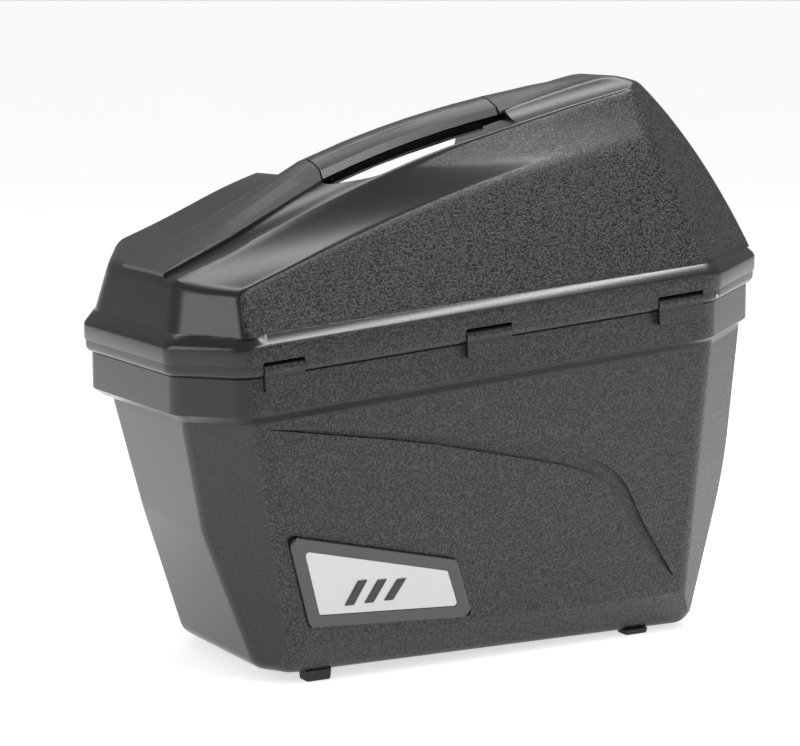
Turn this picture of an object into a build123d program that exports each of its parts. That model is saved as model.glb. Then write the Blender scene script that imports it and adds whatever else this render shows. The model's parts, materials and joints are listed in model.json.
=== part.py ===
"""A hard motorcycle side case of about 22 litres, with its hinged lid, carrying handle, lock and rack catch.

+X runs along the case from its low end to its high end, -Y is the outer side, where the hinge is, +Y is the
side next to the motorcycle, and +Z is up. The origin is on the ground at the middle of the bounding box.
The seam between body and lid is tilted, so the rim, the hinge and the lock are laid out on the seam plane:
u along the seam, v along Y and w square to the seam.
"""
import math
import os

from build123d import *

os.makedirs("parts", exist_ok=True)

# Overall sizes
case_length = 408.0
case_width = 218.0
seam_height = 201.3          # seam above the ground at mid length
seam_tilt = 4.5              # degrees, rising towards +X
wall = 3.0
snug = 0.1                   # between parts that are fitted together
seam_gap = 0.4               # between the lid and the rim of the body

# Plan outline of the rim: how much each corner is cut off, and its rounding
low_cut = (28.0, 49.0)
high_cut = (64.0, 46.0)
corner_round = 20.0

# Rim and flange heights from the seam, and how far each line stands inside the outline
lip_height = 8.0
flange_height = 11.0
bevel_height = 5.0
bevel_inset = 6.0
lip_inset = 0.8
lip_round = 3.9
band_inset = 4.5
band_height = 22.0
step_height = 5.0
body_inset = 10.5
rim_inner_inset = 14.0
seal_inset = 9.0
seal_width = 3.0
seal_depth = 3.0

# Body walls: each end is a chain of (x, z) points, blended where it bends
front_lean = 6.5
body_low_end = ((-195.0, 235.0), (-190.3, 160.0), (-174.5, 90.0), (-139.2, -10.0))
body_high_end = ((194.5, 235.0), (191.5, 95.0), (147.9, -10.0))
end_blend = 150.0
low_chamfer_wall = ((-190.0, -52.0, 160.0), 213.0, 13.9)    # a point, its heading and its lean
high_chamfer_wall = ((141.3, -97.8, 176.0), -53.0, 6.0)
skirt_top = 27.0
skirt_lean = 31.0
body_corner_round = 14.0
bottom_round = 12.0
bottom_low_end = 6.0         # clearance under the body at its low end
bottom_high_end = 1.8
bottom_span = 280.0

# Lid stations along X: height of each long edge of the lid
lid_stations = (-215.0, -150.0, -84.0, -20.0, 37.0, 75.0, 125.0, 212.0)
lower_ridge_heights = (220.0, 242.7, 265.0, 283.0, 295.5, 302.8, 312.2, 326.0)
upper_ridge_heights = (229.5, 255.5, 282.5, 305.0, 320.0, 329.5, 340.5, 357.0)
spine_heights = (230.0, 257.5, 289.5, 310.0, 326.0, 336.5, 348.5, 364.0)
far_ridge_heights = (227.5, 260.0, 288.0, 307.0, 320.5, 327.0, 334.5, 346.0)
upper_ridge_y = -44.0
spine_half_width = 19.0
panel_normal = (-0.035, -0.894, 0.446)
panel_foot = (0.0, -103.0, 225.3)
lid_low_corner = (-198.1, -57.4, 209.7)
lid_low_lean = 12.6
lid_low_chamfer = (-0.847, -0.444, 0.293)
lid_high_chamfer = (0.468, -0.729, 0.501)
lid_high_corner = (137.6, -103.0, 236.3)
lid_end_centre = (18.8, 197.0)
lid_end_radius = 185.7
lid_end_crest = (125.6, 348.9)   # where the end arc meets the top
lid_top_guide = (-4.4, 331.0)    # a point on the slope that trims the top
crest_round = 26.0
low_corner_round = 8.0
lid_top_wall = 8.0

# Finger recess under the handle
recess_near = -42.0
recess_far = 76.0
recess_low_x = -59.0
recess_low_under_x = -84.5
recess_high_near_x = 38.0
recess_high_far_x = 60.0
recess_floor = 262.0
recess_floor_slope = 0.30
recess_round = 5.0

# Handle
handle_low_x, handle_high_x = -84.0, 37.0
handle_crest = ((-104.0, 292.4), (-22.0, 321.0), (56.0, 337.9))
handle_half_width = 21.0
handle_top_half = 18.0
handle_crown = 5.5
handle_depth = 10.0
grip_depth = 9.0
grip_half_width = 17.0
tab_length = 26.0
tab_screw_back = 19.0        # from the end of the handle to its screw
tab_thickness = 5.0
tab_half_width = 14.0
tab_clearance = 0.3
cover_seat = 2.0
cover_low_end_x = -190.5
cover_low_half_width = 29.0
cover_high_end_x = 112.0
cover_high_tip_half = 9.0
cover_tip_side = 0.4         # height of a cover's side and of its crown at its thin end
cover_tip_crown = 0.4
cover_gap = 0.6

# Hinge on the outer side
hinge_radius = 4.0
pin_radius = 2.0
pin_fit = 0.05
knuckle_spans = ((-166.0, -141.0), (-36.0, -6.0), (98.0, 130.0))
knuckle_gap = 0.4
pin_ends = (-169.0, 142.0)

# Lock unit, in seam coordinates
lock_u = (-19.0, 55.0)
lock_v = (80.3, 107.0)
lock_w = (-52.0, 34.0)
lock_pocket_gap = 0.3
lid_pocket_gap = 1.0
pocket_wall = 7.0
lock_cover_thickness = 1.5
latch_u = (0.0, 24.0)
latch_pivot = (98.0, 4.0)
latch_pin_radius = 1.5
latch_hub_radius = 4.0
latch_top = 38.0
latch_thickness = 4.0
claw_reach = 84.3
claw_w = (24.0, 29.0)
latch_tail_w = -10.0
latch_swing = 13.0           # degrees between drawn back and locked over the striker
striker_bar = (86.0, 21.5)
striker_radius = 2.0
striker_plate_thickness = 2.0
striker_plate_u = (-12.0, 36.0)
striker_plate_w = (13.5, 29.5)
striker_screw_u = (-8.0, 32.0)
barrel_u, barrel_v = 41.0, 92.0
barrel_radius = 7.0
barrel_w = (-4.5, 35.5)
cam_length = 10.0
cam_half_width = 3.5
cam_thickness = 4.6
key_slot = (1.6, 7.0, 9.0)
button_u, button_v = -11.0, 92.0
button_radius = 6.0
button_w = (16.0, 39.0)
button_travel = 5.0
stem_size = 5.0
stem_slope_sum = 56.2        # v + w on the sloping end of the stem
stem_low_w = -39.0
catch_u = (-17.0, -5.0)
catch_w = (-46.0, -32.0)
catch_v = (86.0, 108.6)
catch_fit = 0.15
catch_spring_spot = (-11.0, 86.0, -42.2)
catch_spring_radius = 2.2
catch_spring_length = 7.0
spring_wire = 0.5
cover_screw_radius = 1.25
cover_screw_points = ((-15.0, -10.0), (-15.0, 23.0), (50.0, -25.0), (50.0, 23.0), (24.0, -46.0))

# Rack interface on the motorcycle side
rack_plate_size = (180.0, 110.0)
rack_plate_centre = (0.0, 80.0)
rack_plate_outer_y = 109.0
hook_slot_size = (34.0, 14.0)
hook_slot_x = 62.0
hook_slot_z = 54.0
liner_thickness = 1.5
plate_panel_size = (34.0, 44.0)
plate_panel_spots = ((-45.0, 98.0), (0.0, 98.0), (45.0, 98.0))
low_panel_size = (70.0, 30.0)
low_panel_spot = (0.0, 52.0)
plate_panel_depth = 3.0
rack_screw_spacing = (150.0, 80.0)
screw_radius = 2.5
screw_head_radius = 4.5
screw_head_height = 3.0
screw_bite = 7.0

# Feet and badge
foot_size = (17.0, 12.0)
foot_spots = ((-112.0, -62.0), (-112.0, 62.0), (112.0, -62.0), (112.0, 62.0))
foot_seat = 1.5
badge_corners = ((-143.0, 94.0), (-30.5, 67.6), (-16.5, 30.5), (-126.0, 37.0))
badge_round = 5.0
badge_plate_round = 2.0
badge_proud = 2.0
badge_sunk = 2.0
badge_border = 7.5
badge_bar_count = 3
badge_bar_start = -104.0
badge_bar_span = (48.0, 62.0)
badge_bar_slant = 8.0
badge_bar_pitch = 13.0
badge_bar_width = 5.5
badge_bar_height = 0.8
groove_depth = 1.8
groove_upper = ((-157.0, 157.0), (-110.0, 152.5), (-46.0, 143.0), (20.0, 131.0), (61.0, 120.5),
                (84.0, 106.0), (101.0, 79.0), (113.5, 60.5), (129.0, 38.5))
groove_lower = ((-157.0, 157.0), (-110.0, 149.5), (-46.0, 138.4), (14.0, 124.5), (52.0, 114.5),
                (73.0, 104.0), (92.0, 81.5), (108.0, 60.0), (129.0, 38.5))

rise = math.tan(math.radians(seam_tilt))
along = (math.cos(math.radians(seam_tilt)), 0.0, math.sin(math.radians(seam_tilt)))
seam_up = (-along[2], 0.0, along[0])
seam = Plane(origin=(0, 0, seam_height), x_dir=along, z_dir=seam_up)
hinge_v = -case_width / 2 + hinge_radius
hinge_w = lip_height / 2
back_y = case_width / 2 - body_inset
lid_base = lip_height + flange_height + bevel_height


def rim_face(height, inset, cut_back=None):
    """The rim outline at a height above the seam, moved in by an inset, less the lock pocket if asked."""
    half_l, half_w = case_length / 2 / along[0], case_width / 2
    near = [
        (-half_l, -half_w + low_cut[1]),
        (-half_l + low_cut[0], -half_w),
        (half_l - high_cut[0], -half_w),
        (half_l, -half_w + high_cut[1]),
    ]
    points = near + [(u, -v) for u, v in reversed(near)]
    level = Plane(origin=(0, 0, seam_height + height / along[0]), x_dir=along, z_dir=seam_up)
    with BuildSketch(level) as face:
        with BuildLine():
            Polyline(*points, close=True)
        make_face()
        if inset:
            offset(amount=-inset, kind=Kind.INTERSECTION)
        fillet(face.vertices(), corner_round)
        if cut_back is not None:
            with Locations(((lock_u[0] + lock_u[1]) / 2, case_width / 2)):
                width = lock_u[1] - lock_u[0] + 2 * cut_back
                depth = 2 * (case_width / 2 - lock_v[0] + cut_back)
                Rectangle(width, depth, mode=Mode.SUBTRACT)
    return face.sketch


def rim_slab(height, thickness, inset, cut_back=None):
    """A slab with the rim outline, raised straight up from a height above the seam."""
    with BuildPart() as slab:
        extrude(to_extrude=rim_face(height, inset, cut_back), amount=thickness / along[0], dir=(0, 0, 1))
    return slab.part


def seam_box(u, v, w):
    """A box between three pairs of seam coordinates."""
    with BuildPart() as block:
        with BuildSketch(seam.offset(w[0])):
            with Locations(((u[0] + u[1]) / 2, (v[0] + v[1]) / 2)):
                Rectangle(u[1] - u[0], v[1] - v[0])
        extrude(amount=w[1] - w[0])
    return block.part


def across(u):
    """A sketch plane square to the seam direction: its x is v and its y is w."""
    origin = seam.from_local_coords(Vector(u, 0, 0))
    return Plane(origin=origin, x_dir=(0, 1, 0), z_dir=along)


def seam_rod(u, centre, radius):
    """A round bar along the seam between two u values, at a (v, w) centre."""
    with BuildPart() as rod:
        with BuildSketch(across(u[0])):
            with Locations(centre):
                Circle(radius)
        extrude(amount=u[1] - u[0])
    return rod.part


def upright_rod(u, v, w, radius):
    """A round bar square to the seam between two w values."""
    with BuildPart() as rod:
        with BuildSketch(seam.offset(w[0])):
            with Locations((u, v)):
                Circle(radius)
        extrude(amount=w[1] - w[0])
    return rod.part


def facing(point, normal):
    """A cutting plane through a point; what is kept lies behind it."""
    return Plane(origin=point, z_dir=normal)


def leaning(point, heading, lean):
    """A wall plane through a point, facing a heading in degrees and leaning in towards the ground."""
    turn, tip = math.radians(heading), math.radians(lean)
    normal = (math.cos(turn) * math.cos(tip), math.sin(turn) * math.cos(tip), -math.sin(tip))
    return Plane(origin=point, z_dir=normal)


def mirrored(plane):
    """The same plane on the other side of the XZ plane."""
    p, n = plane.origin, plane.z_dir
    return Plane(origin=(p.X, -p.Y, p.Z), z_dir=(n.X, -n.Y, n.Z))


# ---------------------------------------------------------------- body
front_wall = leaning((0, -case_width / 2 + body_inset + 1.5, seam_height - 30), -90, front_lean)
low_chamfer = leaning(*low_chamfer_wall)
high_chamfer = leaning(*high_chamfer_wall)
front_foot_y = front_wall.origin.Y + (front_wall.origin.Z - skirt_top) * math.tan(math.radians(front_lean))
skirt_wall = leaning((0, front_foot_y, skirt_top), -90, skirt_lean)
bottom_fall = (bottom_low_end - bottom_high_end) / bottom_span
underside = Plane(origin=(0, 0, (bottom_low_end + bottom_high_end) / 2), z_dir=(-bottom_fall, 0, -1))


def tub(inset, rounded):
    """The convex outer form of the body, moved in by an inset."""
    ends = [(x + inset, z) for x, z in body_low_end] + [(x - inset, z) for x, z in reversed(body_high_end)]
    bends = ends[1:len(body_low_end) - 1] + ends[len(body_low_end) + 1:-1]
    with BuildPart() as form:
        with BuildSketch(Plane.XZ.offset(-case_width)) as side:
            with BuildLine():
                Polyline(*ends, close=True)
            make_face()
            fillet([v for v in side.vertices() if (round(v.X, 3), round(v.Y, 3)) in bends], end_blend)
        extrude(amount=2 * case_width)
        split(bisect_by=front_wall.offset(-inset), keep=Keep.BOTTOM)
        split(bisect_by=skirt_wall.offset(-inset), keep=Keep.BOTTOM)
        split(bisect_by=facing((0, back_y - inset, 0), (0, 1, 0)), keep=Keep.BOTTOM)
        for chamfer_wall in (low_chamfer, high_chamfer):
            split(bisect_by=chamfer_wall.offset(-inset), keep=Keep.BOTTOM)
            split(bisect_by=mirrored(chamfer_wall).offset(-inset), keep=Keep.BOTTOM)
        split(bisect_by=underside.offset(-inset), keep=Keep.BOTTOM)
        if rounded:
            fillet(form.edges().filter_by(lambda e: abs(e.tangent_at(0.5).Z) > 0.8), body_corner_round)
            fillet(form.faces().sort_by(Axis.Z)[0].edges(), bottom_round)
    return form.part


def fastener(position, direction, length):
    """A pan-head screw: its head rests at a point and its shank runs along a direction."""
    seat = Plane(origin=position, z_dir=direction)
    with BuildPart() as screw:
        with BuildSketch(seat):
            Circle(screw_radius)
        extrude(amount=length)
        with BuildSketch(seat):
            Circle(screw_head_radius)
        extrude(amount=-screw_head_height)
        fillet(screw.faces().sort_by(Axis(position, direction))[0].edges(), 1.0)
        with BuildSketch(seat.offset(-screw_head_height)):
            RegularPolygon(radius=2.0, side_count=6)
        extrude(amount=1.6, mode=Mode.SUBTRACT)
    return screw.part


lock_pocket = seam_box(
    (lock_u[0] - lock_pocket_gap, lock_u[1] + lock_pocket_gap),
    (lock_v[0] - lock_pocket_gap, case_width),
    (lock_w[0] - lock_pocket_gap, lock_w[1] + 60),
)
lock_pocket_walls = seam_box(
    (lock_u[0] - pocket_wall, lock_u[1] + pocket_wall),
    (lock_v[0] - pocket_wall, case_width),
    (lock_w[0] - wall - 1, lock_w[1] + 60),
)
knuckle_rods = [seam_rod(span, (hinge_v, hinge_w), hinge_radius) for span in knuckle_spans]
knuckle_webs = [
    seam_box(span, (hinge_v - hinge_radius + 0.6, hinge_v + hinge_radius), (-8.0, hinge_w))
    for span in knuckle_spans
]
pin_bore = seam_rod((-case_length, case_length), (hinge_v, hinge_w), pin_radius + pin_fit)

rack_screw_points = [
    (rack_plate_centre[0] + side * rack_screw_spacing[0] / 2, rack_plate_centre[1] + level)
    for side in (-1, 1)
    for level in (-rack_screw_spacing[1] / 2, rack_screw_spacing[1] / 2)
]
lock_screw_points = [(12.0, -30.0), (lock_u[1] - 9, -45.0), (lock_u[1] - 9, -22.0)]

# The badge lies on the front wall: its corners are given as (x, z) on that wall
badge_plane = Plane(origin=front_wall.origin, x_dir=(1, 0, 0), z_dir=front_wall.z_dir)


def on_front(x, z):
    """A point of the front wall given by its x and z, in the wall's own sketch coordinates."""
    y = front_wall.origin.Y + (front_wall.origin.Z - z) * math.tan(math.radians(front_lean))
    spot = badge_plane.to_local_coords(Vector(x, y, z))
    return (spot.X, spot.Y)


def foot_top(x):
    """Height of the top of a foot, sunk into the underside at an x."""
    return underside.origin.Z - bottom_fall * x + foot_seat


def lock_screw_hole(u, w):
    """The clearance hole for a lock screw through the back of the lock pocket."""
    v = (lock_v[0] - pocket_wall - 1, lock_v[0] + 1)
    centre = seam.from_local_coords(Vector(u, v[0], w))
    with BuildPart() as hole:
        with BuildSketch(Plane(origin=centre, x_dir=along, z_dir=(0, 1, 0))):
            Circle(screw_radius + snug)
        extrude(amount=v[1] - v[0])
    return hole.part


def lock_screw_bite(u, w):
    """The threaded hole for a lock screw in the front of the lock housing."""
    centre = seam.from_local_coords(Vector(u, lock_v[0] - 1, w))
    with BuildPart() as hole:
        with BuildSketch(Plane(origin=centre, x_dir=along, z_dir=(0, 1, 0))):
            Circle(screw_radius + snug)
        extrude(amount=1 + screw_bite + 1)
    return hole.part


def cover_screw_hole(u, w, v):
    """A hole for a lock cover screw between two v values."""
    centre = seam.from_local_coords(Vector(u, v[0], w))
    with BuildPart() as hole:
        with BuildSketch(Plane(origin=centre, x_dir=along, z_dir=(0, 1, 0))):
            Circle(cover_screw_radius + 0.05)
        extrude(amount=v[1] - v[0])
    return hole.part


def cover_screw(u, w, top, length):
    """A small flat-headed screw with its head on a face square to Y."""
    centre = seam.from_local_coords(Vector(u, top + 0.02, w))
    out = Plane(origin=centre, x_dir=along, z_dir=(0, 1, 0))
    with BuildPart() as screw:
        with BuildSketch(out):
            Circle(2 * cover_screw_radius)
        extrude(amount=0.45)
        with BuildSketch(out):
            Circle(cover_screw_radius)
        extrude(amount=-length)
    return screw.part


def coil(base, centre, radius, height, turns):
    """A round-wire spring that stands on a plane at a centre."""
    spot = base.from_local_coords(Vector(centre[0], centre[1], spring_wire))
    frame = Plane(origin=spot, x_dir=base.x_dir, z_dir=base.z_dir)
    pitch = (height - 2 * spring_wire) / turns
    helix = frame.location * Helix(pitch=pitch, height=pitch * turns, radius=radius - spring_wire)
    with BuildPart() as spring:
        with BuildLine():
            add(helix)
        with BuildSketch(Plane(origin=helix @ 0, z_dir=helix % 0)):
            Circle(spring_wire)
        sweep(path=helix, is_frenet=True)
    return spring.part


def badge_face(height, border):
    """The badge outline on a plane parallel to the front wall, moved in by a border."""
    with BuildSketch(badge_plane.offset(height)) as face:
        with BuildLine():
            Polyline(*[on_front(x, z) for x, z in badge_corners], close=True)
        make_face()
        if border:
            offset(amount=-border, kind=Kind.INTERSECTION)
        fillet(face.vertices(), badge_plate_round if border else badge_round)
    return face.sketch


with BuildPart() as deep_cavity:
    add(tub(wall, False))
    split(bisect_by=seam.offset(-band_height - 2 * step_height), keep=Keep.BOTTOM)
    add(lock_pocket_walls, mode=Mode.SUBTRACT)

with BuildPart() as rim_cavity:
    add(tub(wall, False))
    add(rim_slab(-band_height - 2 * step_height, band_height + 2 * step_height + 10, rim_inner_inset),
        mode=Mode.INTERSECT)
    add(lock_pocket_walls, mode=Mode.SUBTRACT)

with BuildPart() as styling_groove:
    with BuildSketch(badge_plane):
        with BuildLine():
            Spline(*[on_front(x, z) for x, z in groove_upper])
            Spline(*[on_front(x, z) for x, z in groove_lower])
        make_face()
    extrude(amount=-groove_depth)

with BuildPart() as body_shell:
    add(tub(0, True))
    split(bisect_by=seam.offset(-band_height - 1), keep=Keep.BOTTOM)
    add(styling_groove.part, mode=Mode.SUBTRACT)
    add(rim_slab(-band_height, band_height - seam_gap / 2, band_inset))
    loft(sections=[rim_face(-band_height - step_height, body_inset), rim_face(-band_height, band_inset)])
    add(deep_cavity.part, mode=Mode.SUBTRACT)
    add(rim_cavity.part, mode=Mode.SUBTRACT)
    # A boss behind the badge leaves the wall whole under its recess
    extrude(to_extrude=badge_face(-wall - badge_sunk, -wall), amount=wall + badge_sunk - groove_depth - 0.1)
    extrude(to_extrude=badge_face(-badge_sunk, -snug), amount=badge_sunk + badge_proud, mode=Mode.SUBTRACT)
    add(lock_pocket, mode=Mode.SUBTRACT)
    for rod, web in zip(knuckle_rods, knuckle_webs):
        add(rod)
        add(web)
    add(pin_bore, mode=Mode.SUBTRACT)
    # Screw holes for the rack plate and the lock, and seats for the feet
    with BuildSketch(Plane.XZ.offset(-back_y - 1)):
        with Locations(rack_screw_points):
            Circle(screw_radius + snug)
    extrude(amount=wall + 2, mode=Mode.SUBTRACT)
    for u, w in lock_screw_points:
        add(lock_screw_hole(u, w), mode=Mode.SUBTRACT)
    for spot in foot_spots:
        with BuildSketch(Plane.XY.offset(-1)):
            with Locations(spot):
                Rectangle(foot_size[0] + 2 * snug, foot_size[1] + 2 * snug)
        extrude(amount=1 + foot_top(spot[0]), mode=Mode.SUBTRACT)


# ---------------------------------------------------------------- lid
def front_y(x, z):
    """Y of the lid's front panel at an x and z."""
    n, p = panel_normal, panel_foot
    return p[1] - (n[0] * (x - p[0]) + n[2] * (z - p[2])) / n[1]


def height_at(heights, x):
    """Height of a lid edge at an x, in straight runs between the stations."""
    for (x0, z0), (x1, z1) in zip(zip(lid_stations, heights), list(zip(lid_stations, heights))[1:]):
        if x <= x1:
            return z0 + (z1 - z0) * (x - x0) / (x1 - x0)
    return heights[-1]


def lid_section(index, inset, top_inset):
    """The lid's cross-section at one station, moved in by an inset and lowered by a top inset."""
    x = lid_stations[index]
    foot = seam_height + rise * x - 20
    lower, upper = lower_ridge_heights[index] - inset, upper_ridge_heights[index] - top_inset
    spine, far = spine_heights[index] - top_inset, far_ridge_heights[index] - top_inset
    lean = inset / abs(panel_normal[1])
    section = Plane(origin=(x, 0, 0), x_dir=(0, 1, 0), z_dir=(1, 0, 0))
    with BuildSketch(section) as face:
        with BuildLine():
            Polyline(
                (front_y(x, foot) + lean, foot),
                (front_y(x, lower) + lean, lower),
                (upper_ridge_y + inset, upper),
                (-spine_half_width, spine),
                (spine_half_width, spine),
                (-front_y(x, far) - lean, far),
                (-front_y(x, foot) - lean, foot),
                close=True,
            )
        make_face()
    return face.sketch


def lid_form(inset, top_inset, rounded):
    """The convex form of the lid above its rim, moved in by an inset."""
    low_end = leaning(lid_low_corner, 180, -lid_low_lean)
    sides = [facing(lid_low_corner, lid_low_chamfer), facing(lid_high_corner, lid_high_chamfer)]
    sides += [mirrored(side) for side in sides]
    with BuildPart() as plan:
        with BuildSketch(Plane.XZ.offset(-case_width)) as side_view:
            with BuildLine():
                Polyline((case_length / 2, seam_height - 30), (-case_length / 2, seam_height - 30),
                         (-case_length / 2, 320), (lid_top_guide[0], lid_top_guide[1] - top_inset),
                         lid_end_crest)
                arc = RadiusArc(lid_end_crest, (lid_end_centre[0] + lid_end_radius, lid_end_centre[1]),
                                lid_end_radius)
                Line(arc @ 1, (case_length / 2, seam_height - 30))
            make_face()
            corner = [v for v in side_view.vertices() if abs(v.X - lid_end_crest[0]) < 0.1]
            fillet(corner, crest_round)
            if inset:
                offset(amount=-inset, kind=Kind.INTERSECTION)
        extrude(amount=2 * case_width)
        for side in [low_end] + sides:
            split(bisect_by=side.offset(-inset), keep=Keep.BOTTOM)
        if rounded:
            uprights = [e for e in plan.edges() if e.center().X < -150 and abs(e.tangent_at(0.5).Z) > 0.5]
            fillet([e for e in uprights if abs(e.center().Y) < 60], low_corner_round)
    with BuildPart() as form:
        loft(sections=[lid_section(i, inset, top_inset) for i in range(len(lid_stations))], ruled=True)
        add(plan.part, mode=Mode.INTERSECT)
    return form.part


def spine_z(x):
    """Height of the flat along the top of the lid that the covers and the handle sit on."""
    return height_at(spine_heights, x)


def bar_section(x, half_width, low, high):
    """A rectangle square to X between two heights measured from the spine."""
    with BuildSketch(Plane(origin=(x, 0, 0), x_dir=(0, 1, 0), z_dir=(1, 0, 0))) as face:
        with Locations((0, spine_z(x) + (low + high) / 2)):
            Rectangle(2 * half_width, high - low)
    return face.sketch


def spine_bar(x0, x1, widths, low, high):
    """A bar that follows the spine between two x values; its half width runs from one value to the other."""
    stops = [x0] + [x for x in lid_stations if x0 < x < x1] + [x1]
    with BuildPart() as bar:
        for start, end in zip(stops, stops[1:]):
            faces = []
            for x in (start, end):
                share = (x - x0) / (x1 - x0)
                faces.append(bar_section(x, widths[0] + (widths[1] - widths[0]) * share, low, high))
            loft(sections=faces, ruled=True)
    return bar.part


def screw_seat(x):
    """Height of the spot face under the head of a handle screw."""
    return spine_z(x) - cover_seat - 1.5


def cover_low_widths(grow):
    """Half widths of the low cover at its end and at the handle."""
    return (cover_low_half_width + grow, handle_half_width + grow)


def cover_high_widths(grow):
    """Half widths of the high cover at the handle and at its tip."""
    return (handle_half_width + grow, cover_high_tip_half + grow)


def recess_plan(grow):
    """The finger recess seen from above, grown by a wall."""
    with BuildSketch(Plane.XY.offset(recess_floor - 40)) as face:
        with BuildLine():
            Polyline(
                (recess_low_x, recess_near),
                (recess_low_under_x, -handle_half_width - 4),
                (recess_low_under_x, recess_far),
                (recess_high_far_x, recess_far),
                (recess_high_near_x, recess_near),
                close=True,
            )
        make_face()
        if grow:
            offset(amount=grow, kind=Kind.INTERSECTION)
        fillet(face.vertices(), recess_round)
    return face.sketch


def recess_block(grow):
    """The space of the finger recess, open upwards, grown by a wall."""
    slope = math.atan(recess_floor_slope)
    floor = Plane(origin=(0, 0, recess_floor - grow), z_dir=(-math.sin(slope), 0, math.cos(slope)))
    with BuildPart() as space:
        extrude(to_extrude=recess_plan(grow), amount=200)
        split(bisect_by=floor, keep=Keep.TOP)
    return space.part


pocket_front = lock_v[0] - lid_pocket_gap
lid_pocket = seam_box(
    (lock_u[0] - lid_pocket_gap, lock_u[1] + lid_pocket_gap),
    (lock_v[0] - lid_pocket_gap, case_width),
    (-10.0, 90.0),
)
lid_pocket_walls = seam_box(
    (lock_u[0] - pocket_wall, lock_u[1] + pocket_wall),
    (lock_v[0] - pocket_wall, case_width),
    (-10.0, lock_w[1] + 40),
)
knuckle_rooms = [
    seam_box(
        (span[0] - knuckle_gap, span[1] + knuckle_gap),
        (-case_width, hinge_v + hinge_radius + 1.4),
        (-10.0, hinge_w + hinge_radius + 1.0),
    )
    for span in knuckle_spans
]
riser = 8.0                  # the post at each end of the handle, down to its tab
tab_spans = (
    (handle_low_x - tab_length, handle_low_x + riser),
    (handle_high_x - riser, handle_high_x + tab_length),
)
handle_screw_spots = [handle_low_x - tab_screw_back, handle_high_x + tab_screw_back]
lid_screw_depth = 10.0

with BuildPart() as seal_channel:
    add(rim_slab(0, seal_depth, seal_inset, 2.0))
    add(rim_slab(-1, seal_depth + 2, seal_inset + seal_width, 2.0 + seal_width), mode=Mode.SUBTRACT)

with BuildPart() as lid_cavity:
    add(lid_form(wall + 0.5, lid_top_wall, False))
    split(bisect_by=seam.offset(lid_base - 2), keep=Keep.TOP)
    add(rim_slab(-1, lid_base, rim_inner_inset))
    add(recess_block(wall), mode=Mode.SUBTRACT)
    add(lid_pocket_walls, mode=Mode.SUBTRACT)
    for x0, x1 in tab_spans:
        add(spine_bar(x0 - wall, x1 + wall, [tab_half_width + wall] * 2,
                      -cover_seat - tab_thickness - lid_screw_depth - wall, 0), mode=Mode.SUBTRACT)

with BuildPart() as lower_lip:
    add(rim_slab(seam_gap / 2, lip_height, lip_inset))
    fillet(lower_lip.faces().sort_by(Axis((0, 0, seam_height), seam_up))[0].edges(), lip_round)

with BuildPart() as lid_shell:
    add(lid_form(0, 0, True))
    split(bisect_by=seam.offset(lid_base - 0.5), keep=Keep.TOP)
    add(rim_slab(lip_height, flange_height, 0))
    loft(sections=[rim_face(lip_height + flange_height, 0), rim_face(lid_base, bevel_inset)])
    add(lower_lip.part)
    add(lid_cavity.part, mode=Mode.SUBTRACT)
    add(recess_block(0), mode=Mode.SUBTRACT)
    add(lid_pocket, mode=Mode.SUBTRACT)
    add(seal_channel.part, mode=Mode.SUBTRACT)
    add(pin_bore, mode=Mode.SUBTRACT)
    for room in knuckle_rooms:
        add(room, mode=Mode.SUBTRACT)
    # A seat for the striker plate, with its screw holes
    add(seam_box([striker_plate_u[0] - snug, striker_plate_u[1] + snug],
                 (pocket_front - striker_plate_thickness, pocket_front + 1),
                 [striker_plate_w[0] - snug, striker_plate_w[1] + snug]), mode=Mode.SUBTRACT)
    for u in striker_screw_u:
        add(cover_screw_hole(u, striker_bar[1], (pocket_front - 5.5, pocket_front)), mode=Mode.SUBTRACT)
    # Seats for the two spine covers, pockets for the handle's tabs, and holes for its screws
    add(spine_bar(cover_low_end_x - snug, handle_low_x, cover_low_widths(snug), -cover_seat, 40),
        mode=Mode.SUBTRACT)
    add(spine_bar(handle_high_x, cover_high_end_x + snug, cover_high_widths(snug), -cover_seat, 40),
        mode=Mode.SUBTRACT)
    for x0, x1 in tab_spans:
        add(spine_bar(x0 - tab_clearance, x1 + tab_clearance, [tab_half_width + tab_clearance] * 2,
                      -cover_seat - tab_thickness - tab_clearance, 40), mode=Mode.SUBTRACT)
    for x in handle_screw_spots:
        with BuildSketch(Plane.XY.offset(spine_z(x) - cover_seat - tab_thickness - lid_screw_depth)):
            with Locations((x, 0)):
                Circle(screw_radius + snug)
        extrude(amount=lid_screw_depth + 5, mode=Mode.SUBTRACT)


with BuildPart() as lid_seal:
    add(rim_slab(-seam_gap / 2 + snug, seal_depth - 2 * snug + seam_gap / 2, seal_inset + snug, 2.0 + snug))
    add(rim_slab(-2, seal_depth + 4, seal_inset + seal_width - snug, 2.0 + seal_width - snug),
        mode=Mode.SUBTRACT)


# ---------------------------------------------------------------- handle and spine covers
def handle_path():
    """The arch that the handle follows, at its crest."""
    with BuildLine() as path:
        ThreePointArc(*[(x, 0, z) for x, z in handle_crest])
    return path.edges()[0]


def swept(points, inset_low, inset_high):
    """A bar swept along the handle's arch from a closed outline of (y, height from the crest) points."""
    path = handle_path()
    square = Plane(origin=path.position_at(0), x_dir=(0, 1, 0), z_dir=path.tangent_at(0))
    sign = 1 if square.y_dir.Z > 0 else -1
    with BuildPart() as bar:
        with BuildSketch(square):
            with BuildLine():
                Polyline(*[(y, sign * h) for y, h in points], close=True)
            make_face()
        sweep(path=path)
        split(bisect_by=Plane(origin=(handle_low_x + inset_low, 0, 0), z_dir=(1, 0, 0)), keep=Keep.TOP)
        split(bisect_by=Plane(origin=(handle_high_x - inset_high, 0, 0), z_dir=(1, 0, 0)), keep=Keep.BOTTOM)
    return bar.part


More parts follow.
